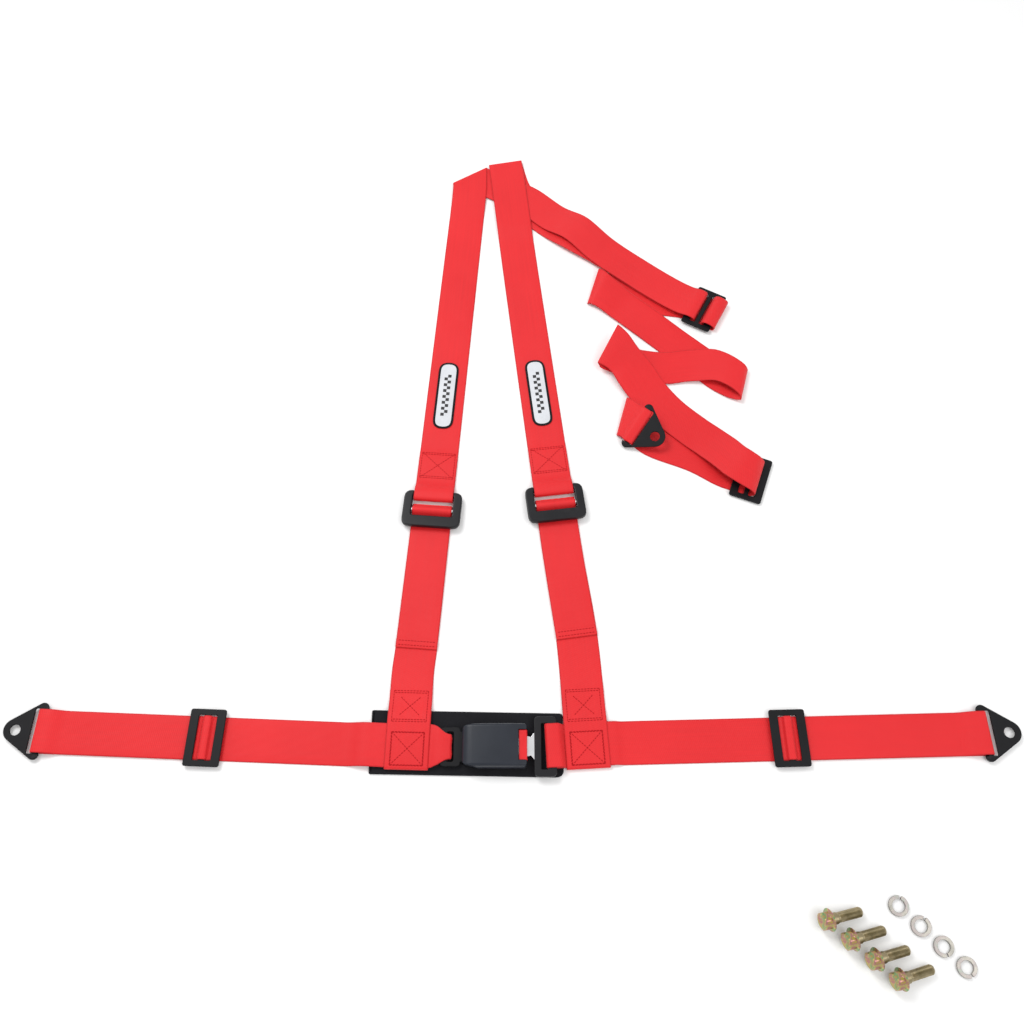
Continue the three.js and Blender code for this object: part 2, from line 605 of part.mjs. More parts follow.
const tabTurn = Array.from({ length: FOLD_STEPS + 1 }, (_, i) => {
  const angle = (Math.PI * i) / FOLD_STEPS;
  return besideTab(REAR_TAB, TAB_TURN * Math.sin(angle), LOOP_RADIUS * Math.cos(angle));
});

const rearWebbing = webbing("rear_webbing", [
  run(...alongStrap(JOIN, 5.4), barMiddle(JOIN) - 1),
  run(...alongStrap(JOIN, 7.6), joinOver + 2),
  run(...alongStrap(JOIN, 13), joinOver + 4.5),
  run(...alongStrap(JOIN, 19), joinOver + 4),
  fold(...alongStrap(JOIN, FAR_TURN), joinOver + 3, joinUnder - 1.5),
  run(...alongStrap(JOIN, 10), joinUnder - 1.5),
  run(...alongStrap(JOIN, -10), FLOOR_LEVEL),
  run(...alongStrap(JOIN, -26), FLOOR_LEVEL),
  run(232, 621, FLOOR_LEVEL), run(185, 640, FLOOR_LEVEL),
  bend(150, 643.5, 1.4, 83, 0.4), bend(135.6, 642.4, 6, 72, 5, 58),
  bend(141, 637.5, 10, 64, 4, 55), bend(155, 627, 8, 55, 2),
  run(175, 611, 3), run(207, 583, 2.2), run(248, 546, FLOOR_LEVEL), run(285, 513, FLOOR_LEVEL),
  bend(306, 494, 1.3, 48), bend(324, 483, 2.6, 64), bend(333, 479.5, 7, 74),
  bend(330, 484, 11.5, 77), bend(313, 499, 12.5, 83), bend(290, 510, 9, 87),
  bend(262, 511, 4.4, 89), run(231, 508, 2.8),
  bend(200, 512, 3, 92), bend(174, 519, 5, 84, 1), bend(158, 525, 9, 74, 3),
  bend(151, 530, 15.5, 66, 6, 56), bend(150.5, 535, 22, 61, 8, 60),
  bend(160, 527, 21, 51, 7, 56), bend(173, 514, 15, 41, 4),
  run(188.5, 492.5, 9, 55), run(201.5, 472.5, 5, 54), run(216, 453.5, 3.4, 52), run(236, 432, 3),
  run(261, 409, 3.4), run(281, 391, 6), bend(295, 375, 12, 46), bend(304.6, 362.6, 15.8, 52),
]);

const rearBight = webbing("rear_slider_bight", [
  bend(305, 362, 16, 52), bend(317, 351, 18.5, 59), bend(328, 343.5, 17.5, 66),
  bend(335, 340, 13.5, 69.5), bend(338.3, 337.9, 9, 69.5), bend(336.6, 338.2, 4.6, 69.5),
  bend(334.4, 338.8, 2.2, 69.5), run(331, 340, FLOOR_LEVEL),
  run(...alongStrap(REAR_SLIDE, -10), FLOOR_LEVEL),
  run(...alongStrap(REAR_SLIDE, BIGHT_END), FLOOR_LEVEL),
]);

const rearWebbingEnd = webbing("rear_webbing_end", [
  run(...alongStrap(REAR_SLIDE, BIGHT_END - 0.4), FLOOR_LEVEL),
  run(...alongStrap(REAR_SLIDE, BIGHT_END - 9), FLOOR_LEVEL),
  run(262, 374, FLOOR_LEVEL), run(207, 398, FLOOR_LEVEL),
  bend(180, 421, 1.2, 58), bend(169, 429.5, 2.8, 70, 1.5, 54), bend(166.5, 431, 5.5, 74, 3, 57),
  bend(170, 427, 10, 70, 4.5, 54), bend(176, 419.5, 14, 62, 6.5),
  besideTab(REAR_TAB, -5, LOOP_RADIUS),
  ...tabTurn,
  besideTab(REAR_TAB, -5, -LOOP_RADIUS),
]);

function rearHardware() {
  const joining = slideFrame("rear_join_slider");
  const adjusting = slideFrame("rear_adjust_slider");
  const tab = anchorTab("rear_tab");
  tab.position.z = -TAB.thick / 2;
  const rolled = groupOf(tab);
  rolled.rotation.x = degrees(REAR_TAB.roll);
  return groupOf(
    place(joining, ...JOIN.at, JOIN.z, JOIN.heading),
    place(adjusting, ...REAR_SLIDE.at, REAR_SLIDE.z, REAR_SLIDE.heading),
    place(groupOf(rolled), ...REAR_TAB.at, REAR_TAB.z, REAR_TAB.heading));
}

// ---- Buckle --------------------------------------------------------------------------------

const HALF_WIDTH = CASING.width / 2;

function casingOutline(inset, height) {
  const [left, right, half] = [CASING.left + inset, CASING.right - inset, HALF_WIDTH - inset];
  const outline = roundedOutline([
    [left, -half + 4.5, 6], [left + 18, -half, 8], [right, -half, 3],
    [right, half, 3], [left + 16, half, 8], [left, half - 3, 6],
  ]);
  return plate(outline, height, { steps: 4 });
}

// The cover's side view: low and rounded at the webbing end, gently crowned towards the button.
// The numbers in COVER are how far each place of its outline lies below the top.
const COVER = { nose: 8, shoulder: 1.4, shoulderX: 12, crown: 1.2, end: 1, bevel: 4 };

function coverBlank(inset) {
  const [left, right, top] = [CASING.left + inset, CASING.right - inset, CASING.top - inset];
  const side = new THREE.Shape();
  side.moveTo(left, 0);
  side.lineTo(left, top - COVER.nose);
  side.quadraticCurveTo(
    left + 1, top - COVER.shoulder - 1, left + COVER.shoulderX, top - COVER.shoulder);
  side.quadraticCurveTo(4, top + COVER.crown, right, top - COVER.end);
  side.lineTo(right, 0);
  side.closePath();
  const half = HALF_WIDTH - inset - COVER.bevel;
  const crown = new THREE.ExtrudeGeometry(side, {
    depth: 2 * half, curveSegments: 6, bevelEnabled: true, bevelThickness: COVER.bevel,
    bevelSize: COVER.bevel, bevelOffset: -COVER.bevel, bevelSegments: 4,
  });
  crown.rotateX(Math.PI / 2).translate(0, half, 0);
  return solid(crown).intersect(casingOutline(inset, CASING.top + 5));
}

const SCREW = { x: [-26, 18], y: 18.8, head: 2.6, shank: 1.2, boss: 3.2, length: 9, sink: 1.6 };
const screwPlaces = SCREW.x.flatMap((x) => [-SCREW.y, SCREW.y].map((y) => [x, y]));

const TONGUE_SLOT = { half: 14, low: BLADE_Z - 0.5, high: BLADE_Z + BLADE_THICK + 0.6 };
const PLATE_SLOT = { half: 17.5, low: PLATE_Z - GAP, high: PLATE_Z + PLATE_THICK + GAP };

function throughSlots(blank) {
  const opening = (x0, x1, { half, low, high }) => box(x0, x1, -half, half, low, high);
  return blank.subtract(opening(20, 50, TONGUE_SLOT)).subtract(opening(-50, -20, PLATE_SLOT));
}

function bottomCover() {
  const outer = casingOutline(0, CASING.split - CASING.floor).translate(0, 0, CASING.floor);
  const inner = casingOutline(CASING.wall, 20).translate(0, 0, CASING.floor + CASING.wall);
  let cover = throughSlots(outer.subtract(inner));
  for (const [x, y] of screwPlaces) {
    cover = cover.add(pillar(x, y, SCREW.boss, CASING.floor + 1, CASING.split).intersect(outer));
    cover = cover.subtract(pillar(x, y, SCREW.shank + GAP, 0, 20));
    cover = cover.subtract(pillar(x, y, SCREW.head + GAP, 0, CASING.floor + SCREW.sink + GAP));
  }
  return piece("buckle_bottom_cover", cover, blackPlastic);
}

const BUTTON = { left: 28.6, right: 38, half: 16.8, low: BLADE_Z + BLADE_THICK + 1, high: 20.4 };

const LATCH_PIN = { x: -18, z: 15, radius: 1, half: 12, play: 0.08 };
const SPRING = { x: -9, y: 11.7, z: BUTTON.low + 2.2, radius: 1.2 };

// Inside the cover two ears hold the ends of the latch pin, and two stops back the button's
// springs. Each is drawn as [left, right, nearest to the middle, farthest from it].
const EAR = [-20.6, -15.4, 9.6, 11.2];
const STOP = [-11.4, -9.5, 9.8, 13.6];

function coverRibs() {
  const low = BUTTON.low + 0.4;
  const pair = ([x0, x1, near, far]) => [
    box(x0, x1, near, far, low, CASING.top), box(x0, x1, -far, -near, low, CASING.top)];
  const bore = solid(rod(LATCH_PIN.radius + LATCH_PIN.play, 40))
    .translate(LATCH_PIN.x, 0, LATCH_PIN.z);
  return wasm.Manifold.union([...pair(EAR), ...pair(STOP)]).subtract(bore);
}

function topCover() {
  const low = CASING.split + GAP;
  const above = box(-60, 60, -60, 60, low, 60);
  const outer = coverBlank(0).intersect(above);
  const inner = coverBlank(CASING.wall);
  let cover = throughSlots(outer.subtract(inner)).add(coverRibs().intersect(outer));
  for (const [x, y] of screwPlaces) {
    cover = cover.add(pillar(x, y, SCREW.boss, low, 21).intersect(outer));
    cover = cover.subtract(pillar(x, y, SCREW.shank + GAP, 0, CASING.floor + SCREW.length + 2));
  }
  const notchHalf = BUTTON.half + 0.5;
  const notch = box(BUTTON.left - 0.6, 60, -notchHalf, notchHalf, BUTTON.low - 0.5, 60);
  return piece("buckle_top_cover", cover.subtract(notch), blackPlastic);
}

// The steel plate is wide where the strap loops round its bar, and has a neck through the casing.
function buckleFrame() {
  const outline = roundedOutline([
    [-62, -22, 6], [-39, -22, 5], [-38, -17, 1], [-33, -17, 1], [-32, -14.4, 1], [30, -14.4, 2],
    [30, 14.4, 2], [-32, 14.4, 1], [-33, 17, 1], [-38, 17, 1], [-39, 22, 5], [-62, 22, 6],
  ]);
  outline.holes.push(holeOf(roundedRectangle(8, 34, 2), ANCHOR_BAR.x + ANCHOR_BAR.half + 4));
  const made = plate(outline, PLATE_THICK, { bevel: 0.4 }).translate(0, 0, PLATE_Z);
  return piece("buckle_frame", made, blackSteel);
}

const LATCH = { tooth: [-3.4, 0.6], half: 7, low: BLADE_Z + BLADE_THICK + 1, barrel: 2.2 };
const WINDOW = { left: -4.2, right: 7, half: 6 };

function latch() {
  const { x, z } = LATCH_PIN;
  const arm = box(x, 3, -LATCH.half, LATCH.half, LATCH.low, LATCH.low + 2);
  const tooth = box(...LATCH.tooth, -5, 5, BLADE_Z + 0.2, LATCH.low + 1);
  const barrel = solid(rod(LATCH.barrel, 2 * LATCH.half)).translate(x, 0, z);
  const bore = solid(rod(LATCH_PIN.radius + LATCH_PIN.play, 40)).translate(x, 0, z);
  return piece("latch", arm.add(tooth).add(barrel).subtract(bore), brightSteel);
}

function latchPin() {
  const pin = new THREE.Mesh(rod(LATCH_PIN.radius, 2 * LATCH_PIN.half), springSteel());
  pin.name = "latch_pin";
  pin.position.set(LATCH_PIN.x, 0, LATCH_PIN.z);
  return pin;
}

function helix(turns, radius, length, wire, stepsPerTurn = 7) {
  class Coil extends THREE.Curve {
    getPoint(t) {
      const angle = 2 * Math.PI * turns * t;
      return new THREE.Vector3(length * t, radius * Math.cos(angle), radius * Math.sin(angle));
    }
  }
  const section = new THREE.Shape();
  section.absarc(0, 0, wire, 0, 2 * Math.PI, false);
  return new THREE.ExtrudeGeometry(section, {
    steps: turns * stepsPerTurn, curveSegments: 2, bevelEnabled: false, extrudePath: new Coil(),
  });
}

function spring(name, { at, length, radius, turns, heading = 0 }) {
  const mesh = piece(name, solid(helix(turns, radius, length, 0.3)), springSteel);
  return place(mesh, ...at, heading);
}

const buttonSpring = (name, y) =>
  spring(name, { at: [SPRING.x, y, SPRING.z], length: 15.5, radius: SPRING.radius, turns: 6 });

const EJECTOR = { left: -19.5, right: -12.6, half: 6 };
const BLADE = { tip: -12, half: 11.5, waist: 38, shoulder: 47, end: 70.5 };
const BUTTON_ARM = { left: 7, near: 10, far: 13.5, low: 0.5, high: 4 };

function releaseButton() {
  const cap = new THREE.Shape();
  cap.moveTo(BUTTON.left, BUTTON.low);
  cap.lineTo(BUTTON.right - 0.6, BUTTON.low);
  const bulge = [BUTTON.right + 0.8, (BUTTON.low + BUTTON.high) / 2];
  cap.quadraticCurveTo(...bulge, BUTTON.right - 0.8, BUTTON.high);
  cap.lineTo(BUTTON.left, BUTTON.high);
  cap.closePath();
  const head = solid(new THREE.ExtrudeGeometry(cap, {
    depth: 2 * BUTTON.half, curveSegments: 4, bevelEnabled: false,
  }).rotateX(Math.PI / 2).translate(0, BUTTON.half, 0));
  const arm = (y0, y1) => box(BUTTON_ARM.left, BUTTON.left + 1, y0, y1,
    BUTTON.low + BUTTON_ARM.low, BUTTON.low + BUTTON_ARM.high);
  const { near, far } = BUTTON_ARM;
  return piece("release_button", head.add(arm(near, far)).add(arm(-far, -near)), buttonRed);
}

// The tongue's outline is drawn once for the upper half and mirrored for the lower half.
function tonguePlate() {
  const half = TONGUE.across / 2 - TONGUE.edge;
  const upper = [
    [BLADE.tip, BLADE.half, 4], [BLADE.waist, BLADE.half, 0], [BLADE.waist + 4, BLADE.half - 1, 0],
    [BLADE.shoulder, BLADE.half + 5, 0], [BLADE.shoulder, half, 3], [BLADE.end, half, 3],
  ];
  const lower = upper.map(([x, y, radius]) => [x, -y, radius]);
  const outline = roundedOutline([...lower, ...upper.reverse()]);
  const hole = (x0, x1, reach) => new THREE.Path([
    [x0, -reach], [x0, reach], [x1, reach], [x1, -reach],
  ].map(([x, y]) => new THREE.Vector2(x, y)));
  outline.holes.push(hole(WINDOW.left, WINDOW.right, WINDOW.half));
  outline.holes.push(hole(TONGUE.slotLeft, TONGUE.slotRight, TONGUE.slotHalf));
  const made = plate(outline, BLADE_THICK).translate(0, 0, BLADE_Z);
  return piece("tongue_plate", made, brightSteel);
}

// The moulded grip covers the tongue's frame; it is cut to fit round the steel with a small gap.
function tongueGrip() {
  const outline = roundedRectangle(TONGUE.gripRight - TONGUE.gripLeft, TONGUE.across, 5);
  const middle = (TONGUE.gripRight + TONGUE.gripLeft) / 2;
  const window = roundedRectangle(TONGUE.barLeft - TONGUE.windowLeft, SLIDE.window, 1);
  outline.holes.push(holeOf(window, (TONGUE.barLeft + TONGUE.windowLeft) / 2 - middle));
  const blank = plate(outline, TONGUE.grip, { bevel: 1, steps: 3, bevelSteps: 2 })
    .translate(middle, 0, TONGUE_Z);
  const half = TONGUE.across / 2 - TONGUE.edge + GAP;
  const pocket = box(40, BLADE.end + GAP, -half, half, BLADE_Z - GAP, BLADE_Z + BLADE_THICK + GAP);
  return piece("tongue_grip", blank.subtract(pocket), blackPlastic);
}

const PAD = { left: -142, right: 79.5, low: -37, high: 40 };

function bucklePad() {
  const outline = roundedOutline([
    [PAD.left, PAD.low + 4, 2], [PAD.right, PAD.low, 9],
    [PAD.right, PAD.high - 4, 4], [PAD.left, PAD.high, 2],
  ]);
  return piece("buckle_pad", plate(outline, PAD_THICK, { steps: 4 }), blackPad);
}

function screw(name, [x, y]) {
  const low = CASING.floor + 0.2;
  const head = pillar(x, y, SCREW.head, low, low + SCREW.sink - 0.2);
  const shank = pillar(x, y, SCREW.shank, low + 0.5, low + SCREW.length);
  return piece(name, head.add(shank), springSteel);
}

const ejectorBlock = box(
  EJECTOR.left, EJECTOR.right, -EJECTOR.half, EJECTOR.half, BLADE_Z, BLADE_Z + BLADE_THICK);

const buckle = place(groupOf(
  bottomCover(), topCover(), buckleFrame(), latch(), latchPin(), releaseButton(),
  piece("ejector", ejectorBlock, blackPlastic),
  spring("ejector_spring", { at: [-31, 0, BLADE_Z + 1.6], length: 11.2, radius: 1.2, turns: 5 }),
  buttonSpring("front_button_spring", -SPRING.y), buttonSpring("back_button_spring", SPRING.y),
  tonguePlate(), tongueGrip(),
  ...screwPlaces.map((at, i) => screw(`buckle_screw_${i + 1}`, at)),
), 0, BUCKLE_Y, 0);

// ---- Anchor bolts --------------------------------------------------------------------------
// A bolt lies on its flange's rim and the end of its shank.

function boltSolid() {
  const { flange, flangeThick, hex, head, shank, collar, collarLength, rim, bite, tipBevel } = BOLT;
  const tip = collarLength + BOLT.shankLength;
  const turned = (points) => solid(new THREE.LatheGeometry(
    points.map(([r, z]) => new THREE.Vector2(r, z)), 32).rotateX(Math.PI / 2));
  const disc = turned([
    [0, -flangeThick], [hex / 2, -flangeThick], [flange / 2 - rim / 2, -2 * rim],
    [flange / 2, -rim], [flange / 2 - rim, 0], [0, 0]]);
  const shaft = turned([
    [0, -1], [collar / 2, -1], [collar / 2, collarLength - 0.7], [shank / 2, collarLength],
    [shank / 2, tip - tipBevel], [shank / 2 - tipBevel, tip], [0, tip]]);
  const corner = hex / Math.sqrt(3);
  const hexagon = solid(new THREE.CylinderGeometry(corner, corner, head, 6)
    .rotateX(Math.PI / 2).translate(0, 0, bite - flangeThick - head / 2));
  const dish = solid(new THREE.SphereGeometry(DISH.radius, 20, 12))
    .translate(0, 0, bite + DISH.depth - flangeThick - head - DISH.radius);
  return disc.add(hexagon).add(shaft).subtract(dish);
}

function bolt(name, { at, heading, roll }) {
  const mesh = piece(name, boltSolid(), zincGold);
  const lean = Math.atan((BOLT.flange - BOLT.shank) / 2 / (BOLT.collarLength + BOLT.shankLength));
  mesh.rotation.set(0, 0, degrees(roll));
  const leaning = groupOf(mesh);
  leaning.rotation.y = Math.PI / 2 + lean;
  const turned = groupOf(leaning);
  turned.rotation.z = degrees(heading);
  turned.updateMatrixWorld(true);
  const lowest = new THREE.Box3().setFromObject(mesh, true).min.z;
  turned.position.set(...at, -lowest);
  return turned;
}

// A split spring washer: a square wire bent into one turn of a helix.
function springWasher(name, { at, heading }) {
  const wire = (WASHER.outer - WASHER.inner) / 2;
  const radius = (WASHER.outer + WASHER.inner) / 4;
  const sweep = degrees(360 - WASHER.gap);
  const { rise, steps } = WASHER;
  const points = [];
  const index = [];
  for (let i = 0; i <= steps; i++) {
    const angle = (sweep * i) / steps;
    for (const [r, z] of [[-1, 0], [1, 0], [1, 1], [-1, 1]]) {
      const reach = radius + (r * wire) / 2;
      points.push(new THREE.Vector3(
        reach * Math.cos(angle), reach * Math.sin(angle), (rise * i) / steps + z * WASHER.thick));
    }
    for (let k = 0; k < 4 && i < steps; k++) {
      const [a, b] = [4 * i + k, 4 * i + ((k + 1) % 4)];
      index.push(a, b, a + 4, b, b + 4, a + 4);
    }
  }
  const last = 4 * steps;
  index.push(0, 2, 1, 0, 3, 2, last, last + 1, last + 2, last, last + 2, last + 3);
  const geometry = new THREE.BufferGeometry().setFromPoints(points);
  geometry.setIndex(index);
  return place(piece(name, outwardFacing(geometry), zincGrey), ...at, 0, heading);
}

const BOLT_ROW = {
  first: [358, -186], last: [425, -243], heading: [13, 14, 14, 15], roll: [10, 25, 5, 15],
};
const WASHER_ROW = { first: [436, -172], last: [498, -232], heading: [80, 65, -70, -60] };

function fastenerRow(make, base, row) {
  return row.heading.map((heading, i) => {
    const share = i / (row.heading.length - 1);
    const at = row.first.map((value, k) => value + (row.last[k] - value) * share);
    return make(`${base}_${i + 1}`, { at, heading, roll: row.roll?.[i] ?? 0 });
  });
}

const bolts = fastenerRow(bolt, "anchor_bolt", BOLT_ROW);
const washers = fastenerRow(springWasher, "spring_washer", WASHER_ROW);

// ---- The whole harness ---------------------------------------------------------------------

const harness = groupOf(
  leftLapWebbing, rightLapWebbing,
  lapSlide("left", leftLine, LEFT_SLIDE_AT), lapSlide("right", rightLine, RIGHT_SLIDE_AT),
  lapTab("left", leftLine), lapTab("right", rightLine),
  leftShoulderLower, rightShoulderLower, adjuster("left", LEFT_ADJUSTER),
  adjuster("right", RIGHT_ADJUSTER), leftShoulderUpper, rightShoulderUpper,
  strapLabel("left_label", LEFT_ADJUSTER, 172), strapLabel("right_label", RIGHT_ADJUSTER, 168),
  rearWebbing, rearBight, rearWebbingEnd, rearHardware(), buckle, bucklePad(), ...bolts, ...washers,
);

export default harness;
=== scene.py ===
"""Looks for the racing harness: webbing, stitching, pad, labels, buckle, slides, tabs and bolts.

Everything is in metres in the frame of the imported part, and takes its place from that part.
"""
import json
import math
from itertools import permutations

import bmesh
import bpy
import numpy as np
from mathutils import Matrix, Vector


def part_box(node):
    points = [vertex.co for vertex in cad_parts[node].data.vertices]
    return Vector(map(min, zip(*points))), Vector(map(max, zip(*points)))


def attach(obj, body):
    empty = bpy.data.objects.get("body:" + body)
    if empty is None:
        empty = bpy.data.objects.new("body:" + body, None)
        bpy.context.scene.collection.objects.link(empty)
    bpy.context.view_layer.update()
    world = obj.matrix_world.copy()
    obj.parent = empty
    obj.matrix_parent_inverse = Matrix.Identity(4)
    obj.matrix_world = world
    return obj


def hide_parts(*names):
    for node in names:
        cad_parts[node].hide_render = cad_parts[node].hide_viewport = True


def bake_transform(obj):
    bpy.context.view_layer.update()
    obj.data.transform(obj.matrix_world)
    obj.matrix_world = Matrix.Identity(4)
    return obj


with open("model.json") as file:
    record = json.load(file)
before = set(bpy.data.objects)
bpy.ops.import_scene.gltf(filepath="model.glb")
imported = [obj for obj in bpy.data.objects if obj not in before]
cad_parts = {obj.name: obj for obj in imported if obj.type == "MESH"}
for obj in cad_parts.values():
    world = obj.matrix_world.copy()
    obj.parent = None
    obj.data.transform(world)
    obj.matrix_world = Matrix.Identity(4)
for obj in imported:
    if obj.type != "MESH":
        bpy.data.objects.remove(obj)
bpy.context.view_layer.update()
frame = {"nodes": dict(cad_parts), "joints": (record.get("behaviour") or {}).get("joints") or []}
NODES = frame["nodes"]
JOINTS = {joint["name"]: joint for joint in frame["joints"]}

MM = 0.001
WEBBING_WIDTH = 50 * MM
WEBBING_THICK = 1.2 * MM


# ---- Materials ------------------------------------------------------------------------------

class Graph:
    """A material's node tree, with short calls for the nodes that are used most."""

    def __init__(self, name):
        self.material = bpy.data.materials.new(name)
        self.material.use_nodes = True
        self.nodes = self.material.node_tree.nodes
        self.links = self.material.node_tree.links
        self.shader = self.nodes["Principled BSDF"]

    def node(self, kind, inputs=(), **settings):
        made = self.nodes.new(kind)
        for key, value in settings.items():
            setattr(made, key, value)
        for key, value in dict(inputs).items():
            self.feed(made.inputs[key], value)
        return made

    def feed(self, socket, value):
        if isinstance(value, bpy.types.NodeSocket):
            self.links.new(value, socket)
        else:
            socket.default_value = value

    def set(self, **values):
        for key, value in values.items():
            self.feed(self.shader.inputs[key.replace("_", " ")], value)

    def math(self, operation, a, b=0.0, c=0.0):
        made = self.node("ShaderNodeMath", operation=operation)
        for socket, value in zip(made.inputs, (a, b, c)):
            self.feed(socket, value)
        return made.outputs[0]

    def axes(self, source):
        """The x, y and z of Generated, Object or UV coordinates."""
        found = self.node("ShaderNodeTexCoord").outputs[source]
        split = self.node("ShaderNodeSeparateXYZ", {"Vector": found})
        return split.outputs[0], split.outputs[1], split.outputs[2]

    def noise(self, scale, detail=2.0, source="Object", stretch=(1, 1, 1)):
        place = self.node("ShaderNodeTexCoord").outputs[source]
        sized = self.node("ShaderNodeMapping", {"Vector": place, "Scale": stretch})
        made = self.node("ShaderNodeTexNoise", {
            "Vector": sized.outputs[0], "Scale": scale, "Detail": detail})
        return made.outputs["Fac"]

    def span(self, value, low, high, from_low=0.0, from_high=1.0):
        made = self.node("ShaderNodeMapRange", {
            "Value": value, "From Min": from_low, "From Max": from_high,
            "To Min": low, "To Max": high})
        return made.outputs["Result"]

    def mix(self, share, a, b):
        made = self.node("ShaderNodeMix", data_type="RGBA")
        self.feed(made.inputs["Factor"], share)
        for key, value in (("A", a), ("B", b)):
            socket = [s for s in made.inputs if s.name == key and s.type == "RGBA"][0]
            self.feed(socket, (*value, 1.0) if isinstance(value, tuple) else value)
        return [s for s in made.outputs if s.type == "RGBA"][0]

    def bump(self, height, distance, strength=1.0, normal=None):
        made = self.node("ShaderNodeBump", {
            "Height": height, "Distance": distance, "Strength": strength})
        if normal is not None:
            self.feed(made.inputs["Normal"], normal)
        return made.outputs["Normal"]


def webbing_material():
    """Twill webbing. Its UV is in millimetres: x across the strap, y along it."""
    graph = Graph("red_webbing")
    across, along, _ = graph.axes("UV")
    rib_pitch, yarn_pitch, edge_shade_width = 1.25, 2.4, 0.8
    column = graph.math("DIVIDE", across, rib_pitch)
    rib = graph.math("ABSOLUTE", graph.math("SINE", graph.math("MULTIPLY", column, math.pi)))
    step = graph.math("MULTIPLY", graph.math("FLOOR", column), 0.25)
    yarn_place = graph.math("ADD", graph.math("DIVIDE", along, yarn_pitch), step)
    yarn = graph.math("ABSOLUTE", graph.math("SINE", graph.math("MULTIPLY", yarn_place, math.pi)))
    weave = graph.math("MULTIPLY", graph.math("POWER", rib, 0.6), graph.span(yarn, 0.45, 1.0))
    half = WEBBING_WIDTH / MM / 2
    # Painted shade: the tone darkens in a band along both edges of the strap.
    from_middle = graph.math("ABSOLUTE", graph.math("SUBTRACT", across, half))
    edge = graph.span(from_middle, 0.0, 1.0, half - 2 * edge_shade_width, half - edge_shade_width / 2)
    cloudy = graph.noise(9.0, 3.0)
    streaks = graph.noise(0.5, 2.0, "UV", (1.6, 0.02, 1))
    # The weave's height also sets the tone: painted shade between the ribs and painted light on their
    # tops.
    tone = graph.math("ADD", graph.span(weave, 0.0, 0.5), graph.span(cloudy, -0.05, 0.4))
    tone = graph.math("ADD", tone, graph.span(streaks, -0.16, 0.2))
    # The painted edge shade is taken off the tone here.
    tone = graph.math("SUBTRACT", tone, graph.math("MULTIPLY", edge, 0.55))
    graph.set(Base_Color=graph.mix(tone, (0.56, 0.005, 0.009), (0.86, 0.022, 0.027)))
    graph.set(Roughness=graph.span(streaks, 0.42, 0.6))
    graph.set(Sheen_Weight=0.25, Sheen_Roughness=0.4, Sheen_Tint=(1.0, 0.62, 0.6, 1.0))
    graph.set(Specular_IOR_Level=0.32)
    fine = graph.bump(weave, 0.22 * MM, 0.7)
    ripple = graph.noise(24.0, 1.0)
    graph.set(Normal=graph.bump(ripple, 2.2 * MM, 0.5, fine))
    return graph.material


def thread_material():
    graph = Graph("thread")
    twist = graph.noise(900.0, 1.0)
    graph.set(Base_Color=graph.mix(twist, (0.34, 0.004, 0.008), (0.48, 0.008, 0.012)))
    graph.set(Roughness=0.7, Specular_IOR_Level=0.15, Normal=graph.bump(twist, 0.1 * MM))
    return graph.material


def pad_material():
    graph = Graph("black_pad")
    x, y, _ = graph.axes("Object")
    pitch = 0.9 * MM
    warp = graph.math("SINE", graph.math("MULTIPLY", x, 2 * math.pi / pitch))
    weft = graph.math("SINE", graph.math("MULTIPLY", y, 2 * math.pi / pitch))
    weave = graph.math("MULTIPLY", warp, weft)
    cloudy = graph.noise(30.0, 4.0)
    fuzz = graph.noise(1400.0, 2.0)
    tone = graph.math("ADD", graph.span(weave, 0.0, 0.35, -1, 1), graph.span(cloudy, 0.0, 0.6))
    graph.set(Base_Color=graph.mix(tone, (0.006, 0.006, 0.007), (0.022, 0.022, 0.026)))
    graph.set(Roughness=graph.span(fuzz, 0.8, 1.0), Specular_IOR_Level=0.12)
    rough = graph.bump(fuzz, 0.12 * MM, 0.5)
    graph.set(Normal=graph.bump(weave, 0.12 * MM, 0.6, rough))
    return graph.material


def worn_edges(graph, plain, bare, strength=0.6):
    """Mixes the bare colour in where the surface is sharply convex, unevenly."""
    point = graph.node("ShaderNodeNewGeometry").outputs["Pointiness"]
    edge = graph.span(point, 0.0, 1.0, 0.52, 0.62)
    patchy = graph.span(graph.noise(160.0, 4.0), 0.0, 1.0, 0.42, 0.7)
    share = graph.math("MULTIPLY", graph.math("MULTIPLY", edge, patchy), strength)
    return graph.mix(share, plain, bare)


def coated_steel_material():
    graph = Graph("coated_steel")
    cloudy = graph.noise(55.0, 5.0)
    grain = graph.noise(1100.0, 2.0)
    base = graph.mix(cloudy, (0.003, 0.003, 0.004), (0.009, 0.009, 0.011))
    graph.set(Base_Color=worn_edges(graph, base, (0.06, 0.06, 0.07), 0.3))
    graph.set(Roughness=graph.span(cloudy, 0.36, 0.55), Specular_IOR_Level=0.2)
    graph.set(Normal=graph.bump(grain, 0.06 * MM, 0.5))
    return graph.material


def plastic_material(name, dark, light, roughness=(0.28, 0.42), shine=0.3, grain_depth=0.05):
    graph = Graph(name)
    cloudy = graph.noise(38.0, 4.0)
    grain = graph.noise(1500.0, 2.0)
    base = graph.mix(cloudy, dark, light)
    paler = tuple(min(1.0, c * 2.2 + 0.01) for c in light)
    graph.set(Base_Color=worn_edges(graph, base, paler, 0.35))
    graph.set(Roughness=graph.span(cloudy, *roughness), Specular_IOR_Level=shine)
    graph.set(Normal=graph.bump(grain, grain_depth * MM, 0.5))
    return graph.material


def steel_material(name, dark, light, roughness=(0.16, 0.32)):
    graph = Graph(name)
    brushed = graph.noise(120.0, 3.0, "Object", (1, 14, 14))
    cloudy = graph.noise(90.0, 3.0)
    graph.set(Base_Color=graph.mix(cloudy, dark, light), Metallic=1.0)
    graph.set(Roughness=graph.span(brushed, *roughness))
    graph.set(Normal=graph.bump(brushed, 0.05 * MM, 0.25))
    return graph.material


